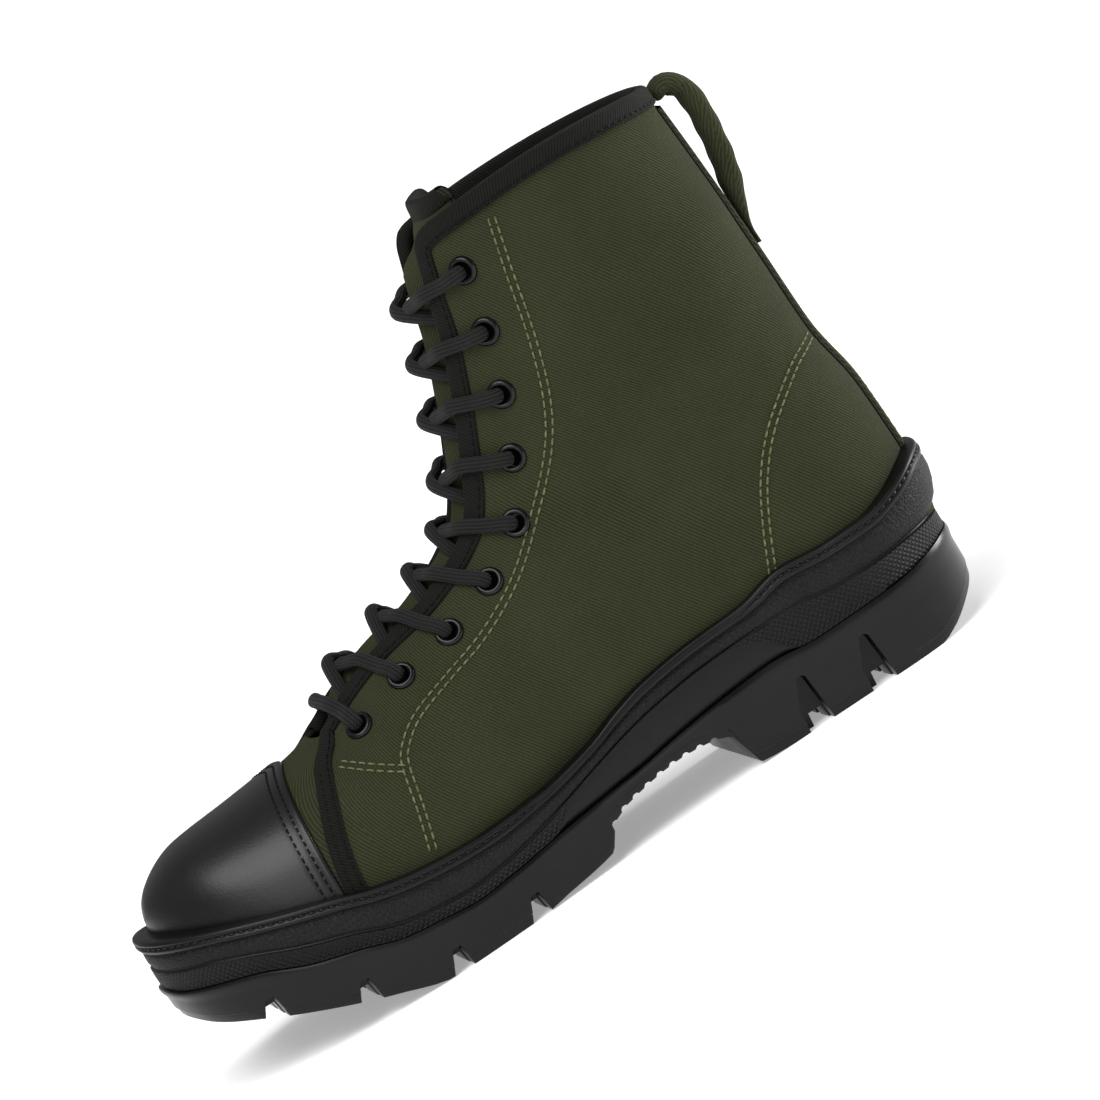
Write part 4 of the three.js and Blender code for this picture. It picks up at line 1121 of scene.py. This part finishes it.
def lace_strand(upper_place, lower_place, side):
    """From beneath the lower eyelet across the tongue, over the other facing and into the upper eyelet."""
    def row(share):
        return mix(upper_place[0], lower_place[0], share)

    low, low_normal = spot(lower_place, -side)
    front = front_of(row(0.4))
    edge, edge_point = over_edge(row(0.12), side)
    dive = tongue_point(row(0.78), -side * (gap_half(row(0.78)) + 4)) + low_normal * 0.6
    rise = tongue_point(row(0.66), -side * (gap_half(row(0.66)) - 3.5)) + front * 2.0
    middle = tongue_point(row(0.38), 0) + front * (1.9 if side > 0 else 5.4)
    return [
        (low - low_normal * 3.6, low_normal), (dive, low_normal), (rise, front), (middle, front),
        (mix(middle, edge_point[0], 0.6) + front * 0.5, front), edge_point,
        *into_eyelet(upper_place, edge, side),
    ]


def lace_bar():
    row = places[1][-1][0]
    halves = []
    for side in (1, -1):
        edge, edge_point = over_edge(row, side)
        halves.append([edge_point, *into_eyelet(places[side][-1], edge, side)])
    middle = tongue_point(row, 0) + front_of(row) * 4.6
    return [*halves[0][::-1], (middle, front_of(row)), *halves[1]]


def cord(points):
    """An oval tube along points, each with the direction of its flat side."""
    path = even_path(smooth_path([np.concatenate(point) for point in points], 8), 1.1)
    path[1:-1] = (path[:-2] + 2 * path[1:-1] + path[2:]) / 4
    rings, uvs, reach = [], [], 0
    for i, entry in enumerate(path):
        along = unit(path[min(i + 1, len(path) - 1)][:3] - path[max(i - 1, 0)][:3])
        up = unit(entry[3:] - along * (entry[3:] @ along))
        across = np.cross(along, up)
        reach += np.linalg.norm(entry[:3] - path[i - 1][:3]) if i else 0
        turns = steps(0, math.tau, 20)
        rings.append([
            entry[:3] + across * math.cos(turn) * LACE_HALF_WIDTH + up * math.sin(turn) * LACE_HALF_THICKNESS
            for turn in turns
        ])
        uvs.append([(turn / math.tau * LACE_GIRTH, reach) for turn in turns])
    return rings, uvs, False, 0


def make_lace(first_side, name, nodes):
    """One end of the lace, which changes sides at every row."""
    strands = []
    side = first_side
    for index in range(EYELET_COUNT - 2, -1, -1):
        strands.append(lace_strand(places[side][index], places[-side][index + 1], side))
        side = -side
    if first_side < 0:
        strands.append(lace_bar())
    piece = grid_object(name, [cord(strand) for strand in strands], [lace_cord], merge=0.001)
    fix_normals(piece)
    finish(piece, "black_lace", *nodes)


crossings = [f"lace_crossing_{k + 1}" for k in range(EYELET_COUNT - 1)]
make_lace(1, "lace_run_left", crossings[::2])
make_lace(-1, "lace_run_right", [*crossings[1::2], "lace_bar"])

# Sole lines in the side view
sole = lines(
    ("x", "rim", "belt", "part"),
    [
        (-0.030, 1.230, 0.72, 0.60), (0.007, 1.154, 0.72, 0.586), (0.043, 1.062, 0.72, 0.550),
        (0.087, 1.000, 0.71, 0.516), (0.137, 0.994, 0.71, 0.506), (0.197, 1.024, 0.76, 0.500),
        (0.257, 0.954, 0.77, 0.534), (0.323, 0.940, 0.76, 0.514), (0.393, 0.894, 0.72, 0.475),
        (0.433, 0.836, 0.68, 0.444), (0.477, 0.752, 0.62, 0.425), (0.553, 0.680, 0.51, 0.390),
        (0.620, 0.670, 0.44, 0.350), (0.667, 0.686, 0.42, 0.332), (0.717, 0.722, 0.45, 0.362),
        (0.760, 0.776, 0.50, 0.396), (0.803, 0.858, 0.60, 0.480), (0.857, 0.946, 0.70, 0.565),
        (0.910, 1.036, 0.82, 0.685), (0.947, 1.095, 0.89, 0.735), (0.980, 1.150, 0.93, 0.775),
        (1.000, 1.180, 0.98, 0.830),
    ],
)
tread = lines(
    ("x", "z"),
    [
        (-0.005, 0.300), (0.003, 0.230), (0.027, 0.140), (0.060, 0.040), (0.083, 0), (0.277, 0),
        (0.322, 0.020), (0.336, 0.260), (0.353, 0.310), (0.400, 0.340), (0.467, 0.298), (0.497, 0.235),
        (0.517, 0.080), (0.590, 0.024), (0.620, 0), (0.730, 0), (0.800, 0.110), (0.833, 0.174),
        (0.897, 0.314), (0.933, 0.400), (0.973, 0.500), (0.997, 0.600),
    ],
)
plan = lines(
    ("x", "outer", "inner"),
    [
        (0.10, 1.00, 1.00), (0.23, 1.02, 1.01), (0.33, 1.05, 0.99), (0.43, 1.13, 1.00),
        (0.53, 1.25, 1.08), (0.62, 1.37, 1.25), (0.70, 1.44, 1.38), (0.76, 1.453, 1.453),
        (0.90, 1.453, 1.453),
    ],
)
# Lower edge of the knurled band where the shank leaves a smooth strip under it
knurl_floor = Line((0.22, 0.261, 0.311, 0.414, 0.516, 0.56), (0.50, 0.708, 0.768, 0.72, 0.568, 0.39))
HEEL_REAR = -0.004 * LENGTH
TOE_FRONT = 0.993 * LENGTH


def sole_line(key, x):
    return sole[key](x / LENGTH) * SOLE_HEIGHT


def tread_height(x):
    return tread["z"](x / LENGTH) * SOLE_HEIGHT


def sole_half(x, side):
    share = plan["outer" if side > 0 else "inner"](x / LENGTH)
    size = mix(HEEL_WIDTH, BALL_WIDTH / 1.453, ease((x / LENGTH - 0.3) / 0.4)) / 2
    heel_round, toe_start = 0.14 * LENGTH, 0.72 * LENGTH
    heel = dome((heel_round - x) / (heel_round - HEEL_REAR), 2.3) if x < heel_round else 1
    toe = dome((x - toe_start) / (TOE_FRONT - toe_start), 2.15 if side > 0 else 2.6) if x > toe_start else 1
    return size * share * heel * toe


def sole_stations(count, extra=()):
    even = [mix(HEEL_REAR, TOE_FRONT, (1 - math.cos(turn)) / 2) for turn in steps(0, math.pi, count)]
    kept = [x for x in even if all(abs(place * LENGTH - x) > 0.002 * LENGTH for place in extra)]
    return sorted(kept + [place * LENGTH for place in extra])


@lru_cache(maxsize=None)
def outline(count, extra, side):
    """Stations round the sole as x, y and the direction out, seen from above."""
    xs = sole_stations(count, extra)
    ys = [side * sole_half(x, side) for x in xs]
    places = []
    for i, (x, y) in enumerate(zip(xs, ys)):
        if i == 0:
            out = np.array([-1.0, 0])
        elif i == len(xs) - 1:
            out = np.array([1.0, 0])
        else:
            along = unit(np.array([xs[i + 1] - xs[i - 1], ys[i + 1] - ys[i - 1]]))
            out = np.array([-along[1], along[0]]) * side
        places.append((x, y, out))
    return places


def sole_ring(count, extra, side, offset, rear, height):
    ring = []
    for x, y, out in outline(count, extra, side):
        push = offset + (rear - offset) * clamp(1 - (x - HEEL_REAR) / (0.2 * LENGTH), 0, 1) ** 2
        ring.append(np.array([x + out[0] * push, y + out[1] * push, height(x)]))
    return ring


BEAD = 5.0
MOULDED_FROM = 0.543
MOULDED_TO = 0.265


def bead_base(x):
    belt, rim = sole_line("belt", x), sole_line("rim", x)
    return max(rim - BEAD, mix(belt, rim, 0.55))


def moulded(x):
    """1 where the bead has its moulded seam, 0 where it is plain."""
    return max(ease((x / LENGTH - MOULDED_FROM) / 0.02), ease((MOULDED_TO - x / LENGTH) / 0.02))


def midsole_levels():
    """The wall from the parting line up to the rim: side and rear offsets, height and material."""
    smooth, knurled, grained = 0, 1, 2

    def part(x):
        return sole_line("part", x) + CLEARANCE

    def belt(x):
        return sole_line("belt", x)

    def rim(x):
        return sole_line("rim", x)

    def floor(x):
        if not knurl_floor.xs[0] < x / LENGTH < knurl_floor.xs[-1]:
            return part(x)
        return clamp(knurl_floor(x / LENGTH) * SOLE_HEIGHT, part(x), belt(x) - 0.5)

    def between(low, high, share):
        return lambda x: mix(low(x), high(x), share)

    def above(line, rise):
        return lambda x: line(x) + rise

    levels = [(-0.9, -0.6, part, smooth), (-0.3, 0.1, between(part, floor, 0.15), smooth)]
    levels += [(0.0, 0.25, between(part, floor, share), smooth) for share in (0.5, 0.97)]
    levels += [
        (0.1 - 0.5 * abs(share - 0.5) ** 2, 0.3, between(floor, belt, share), knurled)
        for share in (0.0, 0.15, 0.3, 0.45, 0.6, 0.75, 0.88)
    ]
    levels += [
        (-0.1, 0.0, above(belt, -0.7), smooth), (-0.75, -0.9, above(belt, -0.35), smooth),
        (-1.0, -1.4, belt, smooth), (-0.7, -0.9, above(belt, 0.35), grained),
        (-0.4, 0.9, between(belt, rim, 0.08), grained),
    ]
    levels += [
        (side_offset, rear, between(belt, bead_base, share), grained)
        for side_offset, rear, share in (
            (-0.3, 3.2, 0.25), (-0.3, 5.2, 0.5), (-0.4, 6.2, 0.72), (-0.7, 6.3, 0.9),
        )
    ]
    levels += [(-1.2, 5.7, bead_base, smooth), (-0.6, 6.1, above(bead_base, 0.3), smooth)]
    levels += [
        (side_offset, rear, between(bead_base, rim, share), smooth)
        for side_offset, rear, share in (
            (0.15, 6.7, 0.14), (0.5, 6.9, 0.28), (0.55, 6.9, 0.4), ("dip", 0.5, 0.48), ("dip", 0.45, 0.62),
            (0.45, 6.6, 0.70), (0.35, 6.4, 0.82), (0.05, 6.0, 0.94),
        )
    ]
    levels += [(-0.6, 5.3, above(rim, 0.02), smooth), (-1.4, 4.4, above(rim, 0.05), smooth)]
    return levels


def level_ring(level, count, side):
    offset, rear, height, _ = level
    if offset != "dip":
        return sole_ring(count, (), side, offset, rear, height)
    ring = []
    for x, y, out in outline(count, (), side):
        push = rear + (6.75 - rear) * clamp(1 - (x - HEEL_REAR) / (0.2 * LENGTH), 0, 1) ** 2
        push -= 0.75 * moulded(x)
        ring.append(np.array([x + out[0] * push, y + out[1] * push, height(x)]))
    return ring


def arc_uv(rings):
    """The way round the sole and the way up its wall."""
    points = np.asarray(rings, float)
    along = np.zeros(points.shape[:2])
    along[:, 1:] = np.cumsum(np.linalg.norm(np.diff(points[:, :, :2], axis=1), axis=2), axis=1)
    return np.stack([np.repeat(along[8:9], len(points), axis=0), points[:, :, 2]], axis=2)


def make_midsole():
    count = 150
    levels = midsole_levels()
    tree = BVHTree.FromObject(upper, bpy.context.evaluated_depsgraph_get())
    grids = []
    for side in (1, -1):
        rings = [level_ring(level, count, side) for level in levels]
        kinds = [level[3] for level in levels] + [0, 0]
        rim_ring = rings[-1]
        inner = []
        for (x, y, out), point in zip(outline(count, (), side), rim_ring):
            start = Vector(to_frame(point + np.array([out[0], out[1], 0]) * 3)[0])
            hit = tree.ray_cast(start, Vector((-out[0], -out[1], 0)), 0.03)[0]
            reach = np.array(hit) * 1000 + [ORIGIN_X, 0, 0] if hit is not None else point
            inner.append(reach - np.array([out[0], out[1], 0]) * 0.9)
        rings.append([point + [0, 0, 0.15] for point in inner])
        rings.append([point - [0, 0, 3.0] for point in inner])
        grids.append((rings, arc_uv(rings), side > 0, kinds))
    piece = grid_object("rubber_midsole", grids, [smooth_rubber, knurl_rubber, grain_rubber], merge=0.01)
    finish(piece, "midsole_rubber", "midsole")
    seam = Threads()
    seam_level = ("dip", 0.45, lambda x: mix(bead_base(x), sole_line("rim", x), 0.55), 0)
    for side in (1, -1):
        ring = level_ring(seam_level, count, side)
        for low, high in ((MOULDED_FROM + 0.02, math.inf), (-math.inf, MOULDED_TO - 0.02)):
            kept = [
                (point, (*out, 0)) for point, (x, _, out) in zip(ring, outline(count, (), side))
                if low < x / LENGTH < high
            ]
            seam.run(*zip(*kept), pitch=3.4, gap=0.2, width=1.1, rise=0.5)
    seam.piece("rim_seam", smooth_rubber, "midsole_rubber")


make_midsole()


# Outsole
def prism(outline_xz, width, middle=0.0):
    """A bar across the sole from its outline in the side view."""
    near = [(x, middle - width / 2, z) for x, z in outline_xz]
    far = [(x, middle + width / 2, z) for x, z in outline_xz]
    count = len(outline_xz)
    faces = [tuple(range(count)), tuple(range(2 * count - 1, count - 1, -1))]
    for i in range(count):
        k = (i + 1) % count
        faces.append((k, i, i + count, k + count))
    return near + far, faces


def sole_cuts():
    """Bars that cut the gaps between lugs, the heel notches, the lengthwise grooves and the shank's ribs."""
    below, reach = -5, BALL_WIDTH + 20
    cuts = []
    for share in (0.613, 0.716, 0.818, 0.911):
        x = share * LENGTH
        tread_here = tread_height(x)
        for depth, width, middle in ((LUG_DEPTH, reach, 0), (LUG_GAP, 14, 1), (LUG_GAP, 14, -1)):
            top, floor = tread_here + depth, tread_here - 6
            edge = middle * (sole_half(x, middle) - 4) if middle else 0
            gap = [(x - 2.5, floor), (x - 0.6, top), (x + 2.6, top), (x + 8.6, floor)]
            cuts.append(prism(gap, width, edge))
    for share in (0.235, 0.152):
        x, deep, edge_reach = share * LENGTH, 0.36 * SOLE_HEIGHT, NOTCH_REACH + 4
        for side in (1, -1):
            notch = [
                (x - 2.4, below), (x - 0.4, deep - 1), (x + 0.8, deep), (x + 2.8, deep), (x + 7.4, 8),
                (x + 7.6, below),
            ]
            cuts.append(prism(notch, edge_reach, side * (sole_half(x, side) - NOTCH_REACH + edge_reach / 2)))
        cuts.append(prism([(x - 2, below), (x - 1, LUG_DEPTH), (x + 4, LUG_DEPTH), (x + 5, below)], reach))
    for start, end, y in ((0.585, 0.955, 0.17), (0.03, 0.32, 0.14)):
        xs = [share * LENGTH for share in steps(start, end, 7)]
        shape = [(xs[0], below), *[(x, tread_height(x) + LUG_DEPTH) for x in xs], (xs[-1], below)]
        cuts += [prism(shape, 5, side * y * BALL_WIDTH) for side in (1, -1)]
    for i in range(9):
        x = 0.356 * LENGTH + i * RIB_PITCH
        z = tread_height(x)
        rib = [(-1.7, -3), (-1.4, 0.2), (-0.6, 0.9), (0.6, 0.9), (1.4, 0.2), (1.7, -3)]
        cuts.append(prism([(x + dx, z + dz) for dx, dz in rib], reach))
    return cuts


def make_outsole():
    count = 90
    extra = (0.277, 0.322, 0.336, 0.353, 0.497, 0.517)

    def part(x):
        return sole_line("part", x)

    def between(share):
        return lambda x: mix(tread_height(x), part(x), share)

    def over(rise, share):
        return lambda x: min(tread_height(x) + rise, mix(tread_height(x), part(x), share))

    levels = [
        (-1.3, -1.1, tread_height), (-0.9, -0.7, over(0.5, 0.08)), (-0.6, -0.4, over(3.0, 0.4)),
        (0.1, 0.1, over(3.5, 0.45)), (0.3, 0.2, between(0.62)), (0.55, 0.35, between(0.74)),
        (1.15, 0.8, between(0.84)), (1.35, 0.95, between(0.92)), (1.1, 0.6, part), (-3, -3, part),
    ]
    grids = []
    rings = {side: [sole_ring(count, extra, side, *level) for level in levels] for side in (1, -1)}
    for side in (1, -1):
        grids.append((rings[side], arc_uv(rings[side]), side > 0, 0))
    for k, flip in ((0, False), (-1, True)):
        strip = [[a, mix(a, b, 0.5), b] for a, b in zip(rings[1][k], rings[-1][k])]
        grids.append((strip, flat_uv(strip), flip, 0))
    piece = grid_object("rubber_outsole", grids, [tread_rubber], merge=0.01)
    fix_normals(piece)
    for k, (verts, faces) in enumerate(sole_cuts()):
        cutter = fix_normals(new_object(f"cut_{k}", verts, faces, smooth=False))
        cut = piece.modifiers.new("cut", "BOOLEAN")
        cut.operation = "DIFFERENCE"
        cut.solver = "EXACT"
        cut.object = cutter
        apply_modifiers(piece)
        bpy.data.objects.remove(cutter)
    round_edges = piece.modifiers.new("round", "BEVEL")
    round_edges.width = 0.0004
    round_edges.segments = 2
    round_edges.limit_method = "ANGLE"
    round_edges.angle_limit = math.radians(38)
    apply_modifiers(piece)
    piece.data.shade_smooth()
    piece.data.set_sharp_from_angle(angle=math.radians(42))
    finish(piece, "outsole_rubber", "outsole")


make_outsole()

# Sock lining keeps its solid, with cloth on it
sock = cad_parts["insole"]
sock.data.materials.clear()
sock.data.materials.append(make_thread("sock_lining", (0.02, 0.02, 0.018), (0.05, 0.05, 0.045)))


# Floor, light and camera
def make_stage():
    mesh = bpy.data.meshes.new("floor")
    size = 60
    corners = [(size * x, size * y, 0) for x, y in ((-1, -1), (1, -1), (1, 1), (-1, 1))]
    mesh.from_pydata(corners, [], [(0, 1, 2, 3)])
    look = Look("pale_floor", {
        "Roughness": 0.9, "Specular IOR Level": 0.1,
        "Emission Color": (1, 1, 1, 1), "Emission Strength": 0.33,
    })
    look.feed("Base Color", look.ramp(look.noise(look.object_places(), 3, 2), (0.3, 0.90), (0.7, 0.92)))
    mesh.materials.append(look.material)
    floor = bpy.data.objects.new("floor", mesh)
    bpy.context.scene.collection.objects.link(floor)

    world = bpy.data.worlds.new("studio")
    bpy.context.scene.world = world
    world.use_nodes = True
    world.node_tree.nodes["Background"].inputs["Color"].default_value = (1, 1, 1, 1)
    world.node_tree.nodes["Background"].inputs["Strength"].default_value = 0.26

    def aim(lamp, place):
        lamp.location = place
        lamp.rotation_euler = (Vector((0.1, 0, 0.08)) - Vector(place)).to_track_quat("-Z", "Y").to_euler()
        bpy.context.scene.collection.objects.link(lamp)

    sun = bpy.data.lights.new("daylight", "SUN")
    sun.energy = 2.5
    sun.angle = math.radians(45)
    aim(bpy.data.objects.new("daylight", sun), (0.9, 1.5, 2.6))
    panels = (("heel_strip", (-2.0, -0.3, 0.5), 1.0, 45), ("side_panel", (1.2, 2.2, 0.9), 1.2, 9))
    for name, place, size, power in panels:
        light = bpy.data.lights.new(name, "AREA")
        light.shape = "DISK"
        light.size = size
        light.energy = power
        aim(bpy.data.objects.new(name, light), place)
    bpy.context.scene.view_settings.view_transform = "Standard"


def make_camera():
    """A long lens at the photograph's angle: turned toward the toe, a little above, and rolled."""
    turn, lift, roll = math.radians(8), math.radians(8), math.radians(32)
    distance, sensor = 3.0, 36
    view_width = 1.1 / 3.05
    target = Vector(to_frame([113.9, 0, 92])[0])
    away = Vector((math.cos(lift) * math.sin(turn), math.cos(lift) * math.cos(turn), math.sin(lift)))
    right = Vector((0, 0, 1)).cross(away).normalized()
    up = away.cross(right)
    turned_right = right * math.cos(roll) - up * math.sin(roll)
    turned_up = up * math.cos(roll) + right * math.sin(roll)
    data = bpy.data.cameras.new("photo_view")
    data.sensor_width = sensor
    data.lens = sensor * distance / view_width
    camera = bpy.data.objects.new("photo_view", data)
    camera.matrix_world = Matrix.LocRotScale(
        target + away * distance, Matrix((turned_right, turned_up, away)).transposed(), None
    )
    bpy.context.scene.collection.objects.link(camera)
    bpy.context.scene.camera = camera


make_stage()
make_camera()
